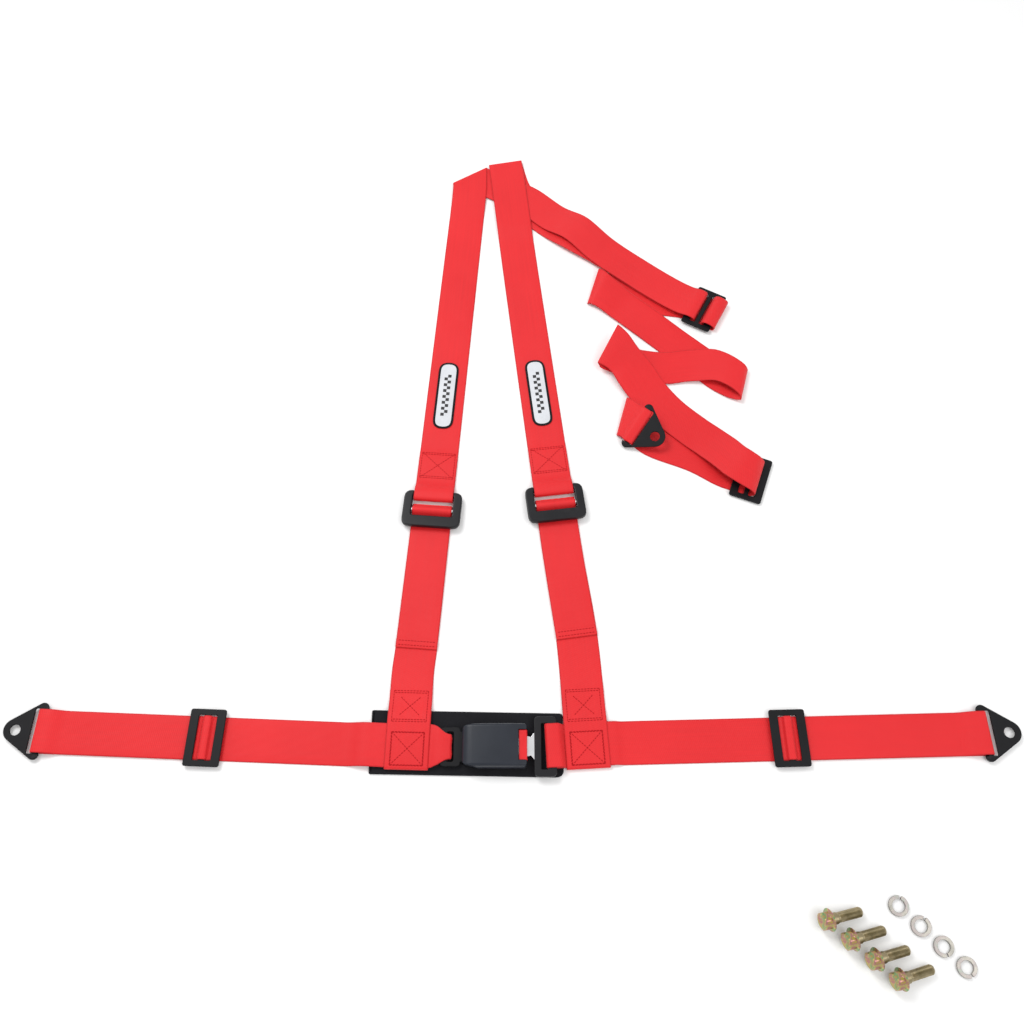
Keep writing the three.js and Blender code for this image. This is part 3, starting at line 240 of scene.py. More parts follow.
def film(graph, scale, colours):
    """A thin film whose colour drifts from patch to patch."""
    ramp = graph.node("ShaderNodeValToRGB", {"Fac": graph.noise(scale, 2.5)})
    stops = ramp.color_ramp.elements
    for i, colour in enumerate(colours):
        stop = stops[i] if i < 2 else stops.new(1.0)
        stop.position = 0.33 + 0.34 * i / (len(colours) - 1)
        stop.color = (*colour, 1.0)
    return ramp.outputs["Color"]


def grey_zinc_material():
    graph = Graph("grey_zinc")
    pits = graph.noise(700.0, 3.0)
    colour = film(graph, 90.0, [(0.28, 0.27, 0.24), (0.38, 0.36, 0.32), (0.34, 0.30, 0.29),
                                (0.31, 0.33, 0.29)])
    graph.set(Base_Color=colour, Metallic=0.85, Roughness=graph.span(pits, 0.28, 0.45))
    graph.set(Normal=graph.bump(pits, 0.05 * MM, 0.4))
    return graph.material


def gold_zinc_material():
    """Yellow passivated zinc: strong colours on the head, a duller gold on the shank."""
    graph = Graph("gold_zinc")
    _, _, height = graph.axes("Object")
    head = film(graph, 130.0, [(0.46, 0.36, 0.08), (0.42, 0.18, 0.20), (0.52, 0.42, 0.16),
                               (0.18, 0.36, 0.18), (0.46, 0.34, 0.12)])
    shank = film(graph, 80.0, [(0.24, 0.20, 0.11), (0.36, 0.30, 0.18), (0.31, 0.25, 0.15)])
    pits = graph.noise(700.0, 3.0)
    share = graph.span(height, 0.0, 1.0, -0.5 * MM, 1.5 * MM)
    graph.set(Base_Color=graph.mix(share, head, shank), Metallic=0.85)
    graph.set(Roughness=graph.span(pits, 0.22, 0.4), Normal=graph.bump(pits, 0.05 * MM, 0.4))
    return graph.material


def label_material():
    """Silver-white woven cloth with a plain chequered band. Its UV is in millimetres."""
    graph = Graph("label_cloth")
    along, across, _ = graph.axes("UV")
    square, band_half, band_length = 4.6, 4.6, 32.2
    chequer = graph.node("ShaderNodeTexChecker", {
        "Vector": graph.node("ShaderNodeTexCoord").outputs["UV"], "Scale": 1 / square})
    inside = graph.math(
        "MULTIPLY", graph.math("LESS_THAN", graph.math("ABSOLUTE", along), band_length),
        graph.math("LESS_THAN", graph.math("ABSOLUTE", across), band_half))
    inked = graph.math("MULTIPLY", inside, chequer.outputs["Fac"])
    thread = 2 * math.pi / 0.5
    weave = graph.math(
        "MULTIPLY", graph.math("SINE", graph.math("MULTIPLY", along, thread)),
        graph.math("SINE", graph.math("MULTIPLY", across, thread)))
    cloth = graph.mix(graph.noise(60.0, 3.0), (0.56, 0.58, 0.61), (0.72, 0.74, 0.78))
    graph.set(Base_Color=graph.mix(inked, cloth, (0.012, 0.012, 0.014)))
    graph.set(Roughness=0.55, Sheen_Weight=0.15)
    graph.set(Normal=graph.bump(weave, 0.06 * MM, 0.5))
    return graph.material


RED_WEBBING = webbing_material()
THREAD = thread_material()
BLACK_PAD = pad_material()
COATED_STEEL = coated_steel_material()
CASING_PLASTIC = plastic_material(
    "casing_plastic", (0.010, 0.013, 0.020), (0.018, 0.022, 0.033), (0.3, 0.42), 0.34)
DARK_PLASTIC = plastic_material(
    "dark_plastic", (0.004, 0.004, 0.005), (0.010, 0.010, 0.013), (0.3, 0.45), 0.28)
BUTTON_RED = plastic_material("button_red", (0.62, 0.012, 0.016), (0.78, 0.02, 0.024))
BORDER_THREAD = plastic_material(
    "border_thread", (0.006, 0.006, 0.007), (0.016, 0.016, 0.018), (0.6, 0.8), 0.1, 0.25)
BRIGHT_STEEL = steel_material("bright_steel", (0.74, 0.75, 0.77), (0.88, 0.89, 0.9))
SPRING_STEEL = steel_material("spring_steel", (0.42, 0.43, 0.45), (0.56, 0.57, 0.6))
GOLD_ZINC = gold_zinc_material()
GREY_ZINC = grey_zinc_material()
LABEL_CLOTH = label_material()


# ---- Mesh helpers ---------------------------------------------------------------------------

def add_mesh(name, points, faces, material, uvs=None, smooth_angle=40):
    mesh = bpy.data.meshes.new(name)
    mesh.from_pydata([tuple(p) for p in points], [], faces)
    if uvs is not None:
        layer = mesh.uv_layers.new(name="UVMap")
        corner = np.empty(len(mesh.loops), dtype=np.int64)
        mesh.loops.foreach_get("vertex_index", corner)
        layer.data.foreach_set("uv", np.asarray(uvs, np.float32)[corner].ravel())
    mesh.materials.append(material)
    made = bpy.data.objects.new(name, mesh)
    bpy.context.scene.collection.objects.link(made)
    smooth(mesh, smooth_angle)
    return made


def smooth(mesh, angle):
    """Smooth shading, with edges sharper than the angle kept crisp."""
    form = bmesh.new()
    form.from_mesh(mesh)
    bmesh.ops.recalc_face_normals(form, faces=form.faces)
    limit = math.radians(angle)
    for face in form.faces:
        face.smooth = True
    for edge in form.edges:
        edge.smooth = len(edge.link_faces) == 2 and edge.calc_face_angle() < limit
    form.to_mesh(mesh)
    form.free()


def tube_faces(rings, around, closed=False):
    """Quads that join rings of points, and a face over each end if the tube isn't closed."""
    faces = []
    for i in range(rings if closed else rings - 1):
        low, high = i * around, ((i + 1) % rings) * around
        for k in range(around):
            after = (k + 1) % around
            faces.append((low + k, low + after, high + after, high + k))
    if not closed:
        last = (rings - 1) * around
        faces.append(tuple(range(around)))
        faces.append(tuple(range(last + around - 1, last - 1, -1)))
    return faces


def monotone(x, y, at):
    """Smooth curve through the rows of y at x, which never overshoots between two rows."""
    gap = np.diff(x)[:, None]
    slope = np.diff(y, axis=0) / gap
    inner = np.zeros_like(y)
    before, after = slope[:-1], slope[1:]
    weight_a, weight_b = 2 * gap[1:] + gap[:-1], gap[1:] + 2 * gap[:-1]
    same = before * after > 0
    with np.errstate(divide="ignore", invalid="ignore"):
        mean = (weight_a + weight_b) / (weight_a / before + weight_b / after)
    inner[1:-1] = np.where(same, mean, 0)
    inner[0], inner[-1] = slope[0], slope[-1]
    i = np.clip(np.searchsorted(x, at, side="right") - 1, 0, len(x) - 2)
    h = (x[i + 1] - x[i])[:, None]
    t = ((at - x[i]) / (x[i + 1] - x[i]))[:, None]
    return ((2 * t**3 - 3 * t**2 + 1) * y[i] + (t**3 - 2 * t**2 + t) * h * inner[i]
            + (-2 * t**3 + 3 * t**2) * y[i + 1] + (t**3 - t**2) * h * inner[i + 1])


def unit(rows):
    return rows / np.linalg.norm(rows, axis=-1, keepdims=True)


# ---- Straps ---------------------------------------------------------------------------------

def spread(near, start):
    """Layers of vertices, each one edge further from the starting ones."""
    layers, seen = [list(start)], set(start)
    while True:
        following = sorted({n for v in layers[-1] for n in near[v]} - seen)
        if not following:
            return layers
        seen.update(following)
        layers.append(following)


def read_rings(node):
    """A CAD strap's cross-sections from end to end. Each has four corners: left on one face,
    left on the other, right on the other, and right on the first."""
    form = bmesh.new()
    form.from_mesh(NODES[node].data)
    bmesh.ops.remove_doubles(form, verts=form.verts, dist=1e-6)
    form.verts.index_update()
    points = np.array([v.co[:] for v in form.verts])
    near = [sorted(e.other_vert(v).index for e in v.link_edges) for v in form.verts]
    form.free()

    def thin(a, b):
        return abs(np.linalg.norm(points[a] - points[b]) - WEBBING_THICK) < 0.05 * MM

    end = spread(near, [0])[-1][0]
    layers = None
    for a in [v for v in near[end] if thin(end, v)]:
        for b in [v for v in near[end] if v != a]:
            for c in [v for v in near[b] if thin(b, v) and v in near[a]]:
                found = spread(near, [end, a, c, b])
                if all(len(layer) == 4 for layer in found):
                    layers = found
    rings = [layers[0]]
    for layer in layers[1:]:
        ways = [p for p in permutations(layer) if all(q in near[r] for q, r in zip(p, rings[-1]))]
        rings.append(min(ways, key=lambda p: np.linalg.norm(
            points[list(p)] - points[list(rings[-1])], axis=1).sum()))
    return points[np.array(rings)]


CORNER_ORDERS = [[0, 1, 2, 3], [1, 0, 3, 2], [3, 2, 1, 0], [2, 3, 0, 1]]


def joined_rings(first, *others):
    """The cross-sections of nodes that carry on from one another, in one row."""
    rings = read_rings(first)
    for node in others:
        following = read_rings(node)
        ways = [(a, b) for a in (rings, rings[::-1]) for b in (following, following[::-1])]
        rings, following = min(ways, key=lambda way: np.linalg.norm(
            way[0][-1].mean(axis=0) - way[1][0].mean(axis=0)))
        order = min(CORNER_ORDERS, key=lambda corners: np.linalg.norm(
            rings[-1] - following[0][corners], axis=1).sum())
        rings = np.concatenate([rings, following[:, order]])
    return rings


class Strap:
    """A length of webbing as close rows: its middle, half its width, and one face's normal."""

    STEP = 6 * MM

    def __init__(self, middle, half, up):
        self.middle, self.half, self.up = middle, half, unit(up)
        gaps = np.linalg.norm(np.diff(middle, axis=0), axis=1)
        self.along = np.concatenate([[0], np.cumsum(gaps)])
        self.tangent = unit(np.gradient(middle, self.along, axis=0))

    @classmethod
    def of(cls, *nodes):
        corners = joined_rings(*nodes)
        left, right = corners[:, :2].mean(axis=1), corners[:, 2:].mean(axis=1)
        up = unit(corners[:, 0] - corners[:, 1] + corners[:, 3] - corners[:, 2])
        middle = (left + right) / 2
        x = np.concatenate([[0], np.cumsum(np.linalg.norm(np.diff(middle, axis=0), axis=1))])
        rows = [np.linspace(a, b, max(2, round((b - a) / cls.STEP)), endpoint=False)
                for a, b in zip(x, x[1:])]
        at = np.concatenate([*rows, [x[-1]]])
        return cls(monotone(x, middle, at), monotone(x, (left - right) / 2, at),
                   monotone(x, up, at))

    def part(self, start, end):
        """The length between two distances along the strap."""
        start, end = min(start, end), max(start, end)
        inside = self.along[(self.along > start + 0.2 * MM) & (self.along < end - 0.2 * MM)]
        at = np.concatenate([[start], inside, [end]])
        return Strap(*(self.rows_at(rows, at) for rows in (self.middle, self.half, self.up)))

    def rows_at(self, rows, at):
        return np.stack([np.interp(at, self.along, rows[:, k]) for k in range(3)], axis=-1)

    def near(self, x, y, top=True):
        """The distance along the strap of the highest (or lowest) layer over a plan point."""
        flat = np.linalg.norm(self.middle[:, :2] - (x, y), axis=1)
        close = np.flatnonzero(flat < flat.min() + 4 * MM)
        height = self.middle[close, 2]
        best = close[np.argmax(height) if top else np.argmin(height)]
        return self.along[best]

    def ends(self, key):
        """The distances of the strap's two ends, with the end of the least key first."""
        return sorted((0, self.along[-1]), key=lambda d: key(self.point(d)))

    def point(self, distance):
        return self.rows_at(self.middle, np.array([distance]))[0]

    def surface(self, along, across):
        """Points on the strap's upper face, and the face's normals."""
        along, across = np.atleast_1d(along), np.atleast_1d(across)
        middle, half, up = (self.rows_at(r, along) for r in (self.middle, self.half, self.up))
        up = unit(up) * np.sign(up[:, 2:3])
        width = np.linalg.norm(half, axis=1, keepdims=True)
        return middle + half / width * across[:, None] + up * WEBBING_THICK / 2, up


# The cross-section: places across the half width, and the share of the thickness there.
SECTION = [(-1, 0.2), (-0.985, 0.75), (-0.95, 1), (-0.6, 1), (-0.2, 1),
           (0.2, 1), (0.6, 1), (0.95, 1), (0.985, 0.75), (1, 0.2)]
PLEATS = 3
PLEAT_HEIGHT = 2.6 * MM


def strap_shape(strap):
    """Points, faces and millimetre UVs of a strap. Where it narrows, it gathers into pleats."""
    outline = SECTION + [(s, -h) for s, h in reversed(SECTION)]
    across = np.array([s for s, _ in outline])
    lift = np.array([h for _, h in outline]) * WEBBING_THICK / 2
    width = np.linalg.norm(strap.half, axis=1)
    skew = np.einsum("ij,ij->i", strap.half, strap.tangent)
    straight = np.sqrt(np.maximum(width**2 - skew**2, 0))
    narrowing = np.clip(1 - straight / (WEBBING_WIDTH / 2), 0, 1)
    pleat = (1 - np.cos(PLEATS * math.pi * (across + 1))) / 2
    gather = narrowing[:, None] * pleat[None, :] * PLEAT_HEIGHT
    points = (strap.middle[:, None] + strap.half[:, None] * across[None, :, None]
              + strap.up[:, None] * (lift[None, :] + gather)[..., None])
    v = strap.along[:, None] + skew[:, None] * across[None, :]
    u = np.broadcast_to((across + 1) * WEBBING_WIDTH / 2, v.shape)
    uvs = np.stack([u, v], axis=-1).reshape(-1, 2) / MM
    return points.reshape(-1, 3), tube_faces(len(strap.along), len(outline)), uvs


def add_straps(name, *straps):
    """One piece made of one or more lengths of webbing."""
    points, faces, uvs = [], [], []
    for strap in straps:
        p, f, uv = strap_shape(strap)
        faces += [tuple(i + len(points) for i in face) for face in f]
        points += list(p)
        uvs += list(uv)
    made = add_mesh(name, points, faces, RED_WEBBING, uvs, 50)
    return made


# ---- Stitching ------------------------------------------------------------------------------

STITCH_PITCH = 3.6 * MM
STITCH_LENGTH = 3.0 * MM
THREAD_RADIUS = 0.5 * MM
THREAD_SIDES = 5
# Along one stitch: share of its length, share of the thread's radius, height over the webbing.
STITCH_ROWS = [(0, 0.35, -0.15 * MM), (0.2, 0.9, 0.05 * MM), (0.8, 0.9, 0.05 * MM),
               (1, 0.35, -0.15 * MM)]


class Stitching:
    """Stitches sewn on the upper face of a strap, gathered into one piece."""

    def __init__(self, name):
        self.name, self.points, self.faces = name, [], []

    def line(self, strap, start, end):
        """A row of stitches between two (along, across) places on the strap."""
        start, end = np.array(start), np.array(end)
        length = np.linalg.norm(end - start)
        count = max(1, round(length / STITCH_PITCH))
        share = STITCH_LENGTH / length
        for first in np.linspace(0, 1 - share, count):
            rows = np.array([first + t * share for t, _, _ in STITCH_ROWS])
            place = start + rows[:, None] * (end - start)
            self.stitch(*strap.surface(place[:, 0], place[:, 1]))

    def stitch(self, spine, up):
        direction = unit(spine[-1] - spine[0])
        side = np.cross(direction, up)
        base = len(self.points)
        for point, normal, across, (_, size, height) in zip(spine, up, side, STITCH_ROWS):
            for k in range(THREAD_SIDES):
                angle = 2 * math.pi * k / THREAD_SIDES
                self.points.append(point + normal * height + THREAD_RADIUS * size * (
                    math.cos(angle) * across + math.sin(angle) * normal))
        self.faces += [tuple(i + base for i in f) for f in tube_faces(len(STITCH_ROWS), THREAD_SIDES)]

    def frame(self, strap, centre, length, width):
        """A sewn rectangle, and its corners in order."""
        a, b, w = centre - length / 2, centre + length / 2, width / 2
        corners = [(a, -w), (b, -w), (b, w), (a, w)]
        for start, end in zip(corners, corners[1:] + corners[:1]):
            self.line(strap, start, end)
        return corners

    def cross(self, strap, centre, length, width):
        a, b, w = centre - length / 2, centre + length / 2, width / 2
        self.line(strap, (a, -w), (b, w))
        self.line(strap, (b, -w), (a, w))

    def inner_rows(self, strap, centre, length, width):
        """A second row just inside each of the rectangle's two ends."""
        for edge in (-1, 1):
            place = centre + edge * (length / 2 - 2.4 * MM)
            self.line(strap, (place, -width / 2), (place, width / 2))

    def finish(self):
        made = add_mesh(self.name, self.points, self.faces, THREAD)
        return made


# ---- Lap straps -----------------------------------------------------------------------------

# Where a lap strap's doubled end starts, from the tab's bar, and stops, from the slide's middle.
DOUBLED_FROM, DOUBLED_TO = 30 * MM, 22 * MM


def lap_strap(side, body):
    """The strap itself, and its doubled end that runs from the tab back to the slide."""
    strap = Strap.of(f"{side}_lap_webbing")
    bar = Vector(JOINTS[f"{side}_tab_tilt"]["pos_m"])
    low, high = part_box(f"{side}_lap_slider")
    slide = (low + high) / 2
    towards = (slide - bar).normalized()
    corner = bar + towards * DOUBLED_FROM
    cut = strap.near(corner.x, corner.y)
    free_end, far_end = strap.ends(lambda p: math.dist(p[:2], slide[:2]))
    main = add_straps(f"{side}_lap_strap", strap.part(cut, far_end))
    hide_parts(f"{side}_lap_webbing")
    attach(main, body)
    doubled = add_straps(f"{side}_lap_strap_end", strap.part(free_end, cut))
    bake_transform(doubled)


def simple_strap(name, node, body):
    made = add_straps(name, Strap.of(node))
    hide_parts(node)
    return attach(made, body)


lap_strap("left", "harness")
lap_strap("right", "tongue_side")
for side in ("left", "right"):
    simple_strap(f"{side}_slide_loop", f"{side}_slider_bight", f"{side}_slide")
    simple_strap(f"{side}_adjuster_loop", f"{side}_adjuster_bight", f"{side}_grip_bar")


# ---- Shoulder straps ------------------------------------------------------------------------

SQUARE = 38 * MM
LOWER_SQUARE, UPPER_SQUARE = 24 * MM, 74 * MM  # their middles, measured from the strap's foot
DOUBLE_ROW = 1.6 * MM  # how much smaller the lower square's inner frame is
LOOP_BOX = (37 * MM, 43 * MM)  # the length and width of the box sewn at an upper strap's loop
LOOP_BOX_AT = 57 * MM  # its middle, measured from the loop's nose


HEM_DEPTH = 11 * MM
HEM_ROWS = (2.5 * MM, 8 * MM)  # the seam's two rows, from the strap's end
SEAM_HALF = 22 * MM


def hem(name, strap, end):
    """The folded and sewn end of a free tail: a short second layer on top of it, and its seam."""
    inward = 1 if end == 0 else -1
    depth, lift = HEM_DEPTH, WEBBING_THICK * 1.02
    rows = [(depth, lift), (depth - 2 * MM, lift), (1.2 * MM, lift), (0.2 * MM, lift * 0.8)]
    along = np.array([end + inward * d for d, _ in rows])
    face, up = strap.surface(along, np.zeros(len(rows)))
    middle = face + up * (np.array([h for _, h in rows]) - WEBBING_THICK / 2)[:, None]
    layer = Strap(middle, strap.rows_at(strap.half, along), up)
    seam = Stitching(f"{name}_stitching")
    for place in HEM_ROWS:
        seam.line(layer, (place, -SEAM_HALF), (place, SEAM_HALF))
    return add_straps(name, layer), seam.finish()


def crossing_squares(side, strap, foot, direction):
    """The stitched squares that hold the shoulder strap round the lap strap."""
    sewing = Stitching(f"{side}_crossing_stitching")
    low = foot + direction * LOWER_SQUARE
    high = foot + direction * UPPER_SQUARE
    for width in (SQUARE, SQUARE - DOUBLE_ROW):
        sewing.frame(strap, low, width, width)
    sewing.cross(strap, low, SQUARE * 0.86, SQUARE * 0.86)
    sewing.frame(strap, high, SQUARE, SQUARE + 2 * MM)
    sewing.cross(strap, high, SQUARE * 0.6, SQUARE * 0.6)
    sewing.inner_rows(strap, high, SQUARE, SQUARE)
    return sewing.finish()


# Below an adjuster: where the lower strap is cut, and where it starts and stops bending.
ADJUSTER_CUT, ADJUSTER_BEND = 110 * MM, (100 * MM, 45 * MM)


def shoulder_lower(side, crossing_body):
    """The lower strap in three lengths: sewn to the lap strap, at the adjuster, and the tail."""
    node = f"{side}_shoulder_lower_webbing"
    strap = Strap.of(node)
    adjuster = Vector(JOINTS[f"{side}_adjuster_tilt"]["pos_m"])
    cut_y = adjuster.y - ADJUSTER_CUT
    inner, tail = strap.ends(lambda p: p[1])
    cuts = strap.along[1:][np.diff(np.sign(strap.middle[:, 1] - cut_y)) != 0]
    cut_tail, cut_run = sorted(cuts, key=lambda d: abs(d - tail))
    lower = add_straps(f"{side}_shoulder_lower_strap", strap.part(cut_run, inner))
    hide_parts(node)
    free_tail = add_straps(f"{side}_shoulder_tail", strap.part(tail, cut_tail))
    upper = add_straps(f"{side}_shoulder_strap_at_adjuster", strap.part(cut_tail, cut_run))
    folded, seam = hem(f"{side}_tail_hem", strap, tail)
    foot = strap.along[np.argmin(strap.middle[:, 1])]
    sewing = crossing_squares(side, strap, foot, np.sign(cut_run - foot))

    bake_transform(upper)
    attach(sewing, crossing_body)
    if crossing_body == "harness":
        for piece in (lower, free_tail, folded, seam):
            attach(piece, "harness")
    else:
        for piece in (lower, free_tail, folded, seam):
            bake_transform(piece)


def shoulder_upper(side):
    node = f"{side}_shoulder_upper_webbing"
    strap = Strap.of(node)
    made = add_straps(f"{side}_shoulder_upper_strap", strap)
    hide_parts(node)
    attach(made, "harness")
    loop = strap.along[np.argmin(strap.middle[:, 1])]
    towards = 1 if loop < strap.along[-1] / 2 else -1
    centre = loop + towards * LOOP_BOX_AT
    length, width = LOOP_BOX
    sewing = Stitching(f"{side}_loop_stitching")
    sewing.frame(strap, centre, length, width)
    sewing.inner_rows(strap, centre, length, width)
    sewing.cross(strap, centre, length * 0.9, width * 0.9)
    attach(sewing.finish(), "harness")


shoulder_lower("left", "harness")
shoulder_lower("right", "tongue_side")
shoulder_upper("left")
shoulder_upper("right")


# ---- Rear strap -----------------------------------------------------------------------------

RIGID_REACH = 30 * MM  # the webbing this near the adjusting slide moves with it
STRETCH_ABOVE, STRETCH_BELOW = 190 * MM, 120 * MM  # beyond this far, it stays where it is


def rear_strap():
    """The zigzag strap in five lengths: the loop goes with the slide, and the lengths beside it stay
    where they are.
    """
    strap = Strap.of("rear_webbing", "rear_slider_bight", "rear_webbing_end")
    low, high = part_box("rear_adjust_slider")
    slide = (low + high) / 2
    over, under = (strap.near(slide.x, slide.y, top) for top in (True, False))
    leaves, reaches = over - STRETCH_ABOVE, over - RIGID_REACH
    goes_on, settles = under + RIGID_REACH, under + STRETCH_BELOW

    run = add_straps("rear_strap", strap.part(0, leaves))
    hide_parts("rear_webbing")
    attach(run, "harness")
    loop = add_straps("rear_slide_loop", strap.part(reaches, goes_on))
    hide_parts("rear_slider_bight")
    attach(loop, "rear_slide")
    last = add_straps("rear_strap_end", strap.part(settles, strap.along[-1]))
    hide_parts("rear_webbing_end")
    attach(last, "harness")
    for name, still, moving in [("above", leaves, reaches), ("below", settles, goes_on)]:
        stretch = add_straps(f"rear_strap_{name}_slide", strap.part(still, moving))
        tuple(strap.point(still))
        tuple(strap.point(moving))
        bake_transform(stretch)


rear_strap()


# ---- Pad and labels -------------------------------------------------------------------------

def outline_of(node):
    """The plan outline of a flat CAD plate, counter-clockwise."""
    form = bmesh.new()
    form.from_mesh(NODES[node].data)
    bmesh.ops.remove_doubles(form, verts=form.verts, dist=1e-6)
    place = NODES[node].matrix_world
    tops = [place @ v.co for v in form.verts]
    form.free()
    height = max(p.z for p in tops)
    points = np.array([p[:2] for p in tops if p.z > height - 1e-5])
    middle = points.mean(axis=0)
    order = np.argsort(np.arctan2(*(points - middle).T[::-1]))
    return points[order]


def inset(outline, distance):
    """The outline moved inwards by a distance."""
    ahead = unit(np.roll(outline, -1, axis=0) - outline)
    back = unit(outline - np.roll(outline, 1, axis=0))
    along = unit(ahead + back)
    inward = np.stack([-along[:, 1], along[:, 0]], axis=1)
    mitre = np.einsum("ij,ij->i", along, ahead)
    return outline + inward * (distance / mitre)[:, None]


def soft_plate(name, outline, profile, material, uvs=None):
    """A plate whose edge follows a profile of (inset, height) rows from the bottom to the top."""
    rows = [np.column_stack([inset(outline, d), np.full(len(outline), z)]) for d, z in profile]
    faces = tube_faces(len(rows), len(outline))
    return add_mesh(name, np.concatenate(rows), faces, material, uvs, 50)


PAD_PROFILE = [(1.0, 0.05), (0.15, 0.4), (0, 1.2), (0.1, 2.0), (0.5, 2.6), (1.3, 2.9), (3.0, 3.0)]


def pad():
    profile = [(d * MM, z * MM) for d, z in PAD_PROFILE]
    made = soft_plate("buckle_pad_cloth", outline_of("buckle_pad"), profile, BLACK_PAD)
    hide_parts("buckle_pad")
    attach(made, "harness")


LABEL_BORDER = 3.2 * MM


def label(side):
    """A woven label: silver cloth inside a raised black border."""
    node = f"{side}_label"
    outline = outline_of(node)
    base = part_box(node)[0].z
    spread_out = outline - outline.mean(axis=0)
    _, _, axes = np.linalg.svd(spread_out, full_matrices=False)
    profile = [(2 * MM, base + 0.1 * MM), (2 * MM, base + 0.7 * MM), (2.4 * MM, base + 0.8 * MM)]
    rows = np.concatenate([inset(outline, d) for d, _ in profile]) - outline.mean(axis=0)
    cloth = soft_plate(f"{side}_label_cloth", outline, profile, LABEL_CLOTH, rows @ axes.T / MM)
    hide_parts(node)
    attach(cloth, "harness")
    ring = [(LABEL_BORDER / 2 * (1 - math.cos(a)), base + (0.45 + 0.75 * math.sin(a)) * MM)
            for a in np.linspace(-math.pi, math.pi, 13)[:-1]]
    loops = [np.column_stack([inset(outline, d), np.full(len(outline), z)]) for d, z in ring]
    faces = tube_faces(len(loops), len(outline), closed=True)
    border = add_mesh(f"{side}_label_border", np.concatenate(loops), faces, BORDER_THREAD)
    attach(border, "harness")


pad()
label("left")
label("right")


# ---- Anchor bolts ---------------------------------------------------------------------------

BOLT_SIDES = 36
HEX_WIDTH = 17.5
SHANK_RADIUS, SHANK_END = 5.55, 37.0
THREAD_START, THREAD_PITCH, THREAD_DEPTH = 9.0, 1.27, 0.75
# Rows of the head, in millimetres from the flange's underside: height, radius, cut by the hexagon.
HEAD_ROWS = [
    (-9.1, 0.2, False), (-9.2, 3.0, False), (-9.8, 5.2, False), (-10.5, 6.6, False),
    (-10.6, 7.2, False), (-10.4, 8.1, False), (-9.7, 9.4, True), (-9.2, 12, True),
    (-3.0, 12, True), (-2.5, 9.4, False), (-1.5, 11.6, False), (-1.1, 12, False),
    (-0.5, 12, False), (0, 11.6, False), (0, 6.2, False), (7.4, 6.2, False),
    (8.0, SHANK_RADIUS, False),
]


def bolt_points():
    """A flanged hexagon bolt with a helical thread, along +Z from its flange."""
    angles = np.arange(BOLT_SIDES) * 2 * math.pi / BOLT_SIDES
    corner = (angles + math.pi / 6) % (math.pi / 3) - math.pi / 6
    hexagon = HEX_WIDTH / 2 / np.cos(corner)
    rows = [(z, np.minimum(radius, hexagon) if cut_flat else np.full(BOLT_SIDES, radius))
            for z, radius, cut_flat in HEAD_ROWS]
    for z in np.arange(THREAD_START, SHANK_END - 1.2, THREAD_PITCH / 5):
        turn = (z / THREAD_PITCH - angles / (2 * math.pi)) % 1
        fade = min(1, (z - THREAD_START) / THREAD_PITCH)
        rows.append((z, SHANK_RADIUS - THREAD_DEPTH * fade * np.abs(2 * turn - 1)))
    rows += [(SHANK_END - 1.0, np.full(BOLT_SIDES, SHANK_RADIUS - 0.6)),
             (SHANK_END, np.full(BOLT_SIDES, 4.4)), (SHANK_END, np.full(BOLT_SIDES, 0.2))]
    points = [np.column_stack([r * np.cos(angles), r * np.sin(angles), np.full(BOLT_SIDES, z)])
              for z, r in rows]
    return np.concatenate(points) * MM, len(rows)


def bolt_place(node):
    """Where a CAD bolt lies: its long axis from head to tip, and its end at the tip."""
    world = NODES[node].matrix_world
    points = np.array([(world @ v.co)[:] for v in NODES[node].data.vertices])
    middle = points.mean(axis=0)
    _, _, axes = np.linalg.svd(points - middle, full_matrices=False)
    axis = axes[0]
    along = points @ axis
    spread_at = [np.linalg.norm((points - middle) - np.outer((points - middle) @ axis, axis),
                                axis=1)[np.abs(along - end) < 8 * MM].max()
                 for end in (along.min(), along.max())]
    if spread_at[1] > spread_at[0]:
        axis = -axis
    tip = middle + axis * ((points - middle) @ axis).max()
    turn = Vector(axis).to_track_quat("Z", "Y")
    return Matrix.Translation(Vector(tip - axis * SHANK_END * MM)) @ turn.to_matrix().to_4x4()


def bolt(index):
    points, rows = bolt_points()
    made = add_mesh(f"bolt_{index}_finish", points, tube_faces(rows, BOLT_SIDES), GOLD_ZINC)
    made.matrix_world = bolt_place(f"anchor_bolt_{index}")
    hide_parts(f"anchor_bolt_{index}")
    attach(made, f"bolt_{index}")


for index in range(1, 5):
    bolt(index)


# ---- Carried-over CAD nodes -----------------------------------------------------------------

CARRIED = {
    COATED_STEEL: ["left_lap_slider", "right_lap_slider", "left_lap_tab", "right_lap_tab",
                   "rear_join_slider", "rear_adjust_slider", "rear_tab", "buckle_frame"],
    DARK_PLASTIC: ["left_adjuster_frame", "right_adjuster_frame", "tongue_grip", "ejector",
                   "buckle_bottom_cover"],
    CASING_PLASTIC: ["buckle_top_cover"],
    BRIGHT_STEEL: ["left_adjuster_bar", "right_adjuster_bar", "latch", "tongue_plate"],
    SPRING_STEEL: ["latch_pin", "ejector_spring", "front_button_spring", "back_button_spring"]
    + [f"buckle_screw_{i}" for i in range(1, 5)],
    BUTTON_RED: ["release_button"],
    GREY_ZINC: [f"spring_washer_{i}" for i in range(1, 5)],
}
ROUNDING = {"left_adjuster_frame": 1.0, "right_adjuster_frame": 1.0, "release_button": 0.6,
            "buckle_top_cover": 0.5}


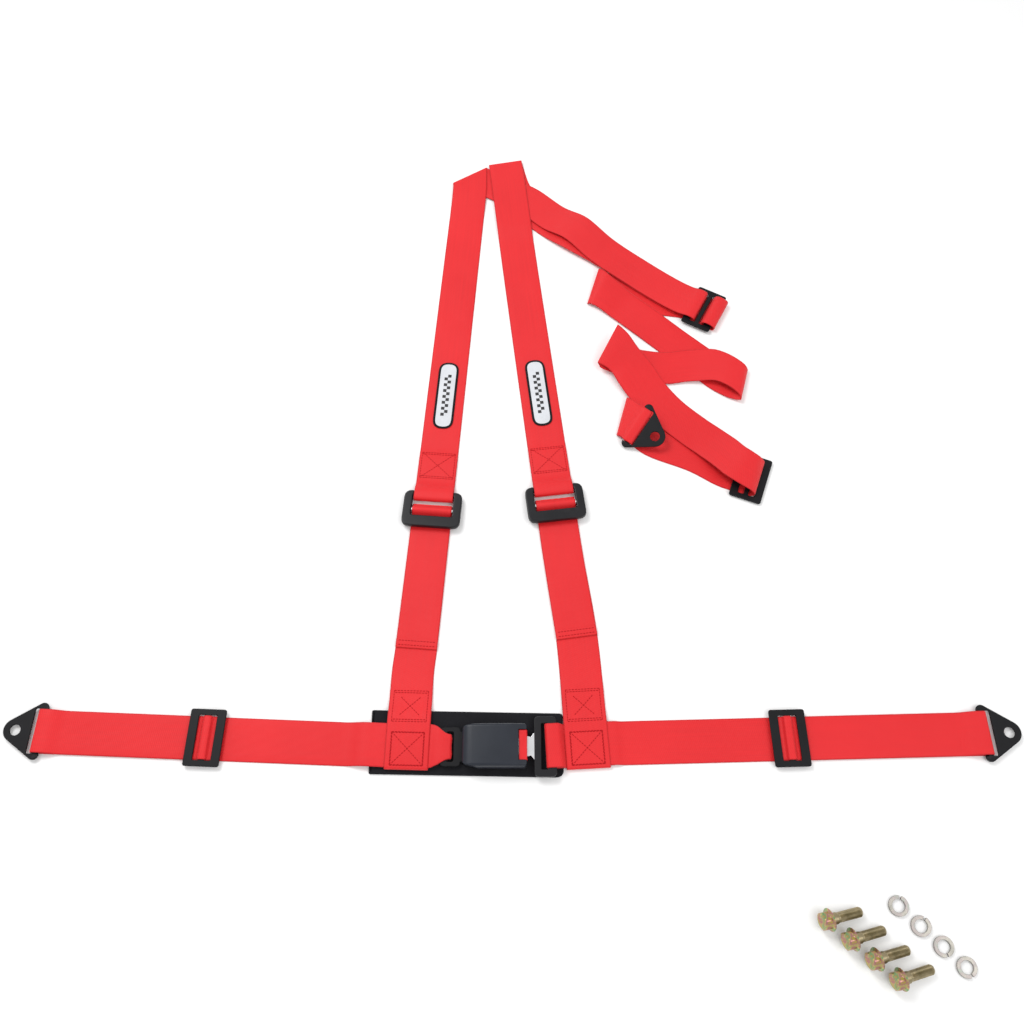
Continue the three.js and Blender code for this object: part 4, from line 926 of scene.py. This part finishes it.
def carry_over(node, material):
    """Keeps a CAD node's shape, with its edges rounded and its curved faces shaded smooth."""
    made = NODES[node]
    made.data.materials.clear()
    made.data.materials.append(material)
    if "custom_normal" in made.data.attributes:
        made.data.attributes.remove(made.data.attributes["custom_normal"])
    made.data.polygons.foreach_set("use_smooth", [True] * len(made.data.polygons))
    weld = made.modifiers.new("weld", "WELD")
    weld.merge_threshold = 1e-6
    flat = made.modifiers.new("flat", "DECIMATE")
    flat.decimate_type = "DISSOLVE"
    flat.angle_limit = math.radians(1)
    bevel = made.modifiers.new("bevel", "BEVEL")
    bevel.width = ROUNDING.get(node, 0.3) * MM
    bevel.segments = 3
    bevel.limit_method = "ANGLE"
    bevel.angle_limit = math.radians(38)
    normals = made.modifiers.new("normals", "WEIGHTED_NORMAL")
    normals.keep_sharp = True


for material, nodes in CARRIED.items():
    for node in nodes:
        carry_over(node, material)


# ---- Stage ----------------------------------------------------------------------------------

def add_floor():
    graph = Graph("floor")
    grain = graph.noise(3.0, 2.0)
    graph.set(Base_Color=graph.mix(grain, (0.93, 0.93, 0.93), (0.95, 0.95, 0.95)))
    graph.set(Roughness=0.9, Specular_IOR_Level=0.1)
    reach = 6.0
    floor = add_mesh("floor", [(-reach, -reach, 0), (reach, -reach, 0), (reach, reach, 0),
                               (-reach, reach, 0)], [(0, 1, 2, 3)], graph.material)


def add_area_light(name, place, size, power):
    data = bpy.data.lights.new(name, "AREA")
    data.shape = "DISK"
    data.size = size
    data.energy = power
    made = bpy.data.objects.new(name, data)
    made.location = place
    made.rotation_mode = "QUATERNION"
    made.rotation_quaternion = (-Vector(place)).to_track_quat("-Z", "Y")
    bpy.context.scene.collection.objects.link(made)


CAMERA_TARGET = Vector((20.7, 294.2, 0)) * MM
CAMERA_AT = Vector((20.7, -226.2, 1142)) * MM
CAMERA_LENS = 34.67  # millimetres, on a sensor 36 mm wide


def add_camera():
    """Looks along +Y and down at the harness, from 65.5 degrees above the floor."""
    data = bpy.data.cameras.new("camera")
    data.lens = CAMERA_LENS
    data.sensor_width = 36
    made = bpy.data.objects.new("camera", data)
    made.location = CAMERA_AT
    made.rotation_mode = "QUATERNION"
    made.rotation_quaternion = (CAMERA_TARGET - CAMERA_AT).to_track_quat("-Z", "Y")
    bpy.context.scene.collection.objects.link(made)
    bpy.context.scene.camera = made


def add_light():
    world = bpy.data.worlds.new("studio")
    world.use_nodes = True
    world.node_tree.nodes["Background"].inputs["Color"].default_value = (1, 1, 1, 1)
    world.node_tree.nodes["Background"].inputs["Strength"].default_value = 0.75
    bpy.context.scene.world = world
    add_area_light("key", (-0.9, 1.1, 1.9), 1.0, 22)
    add_area_light("fill", (1.2, -0.6, 2.0), 1.6, 14)
    bpy.context.scene.view_settings.view_transform = "Standard"


add_floor()
add_camera()
add_light()
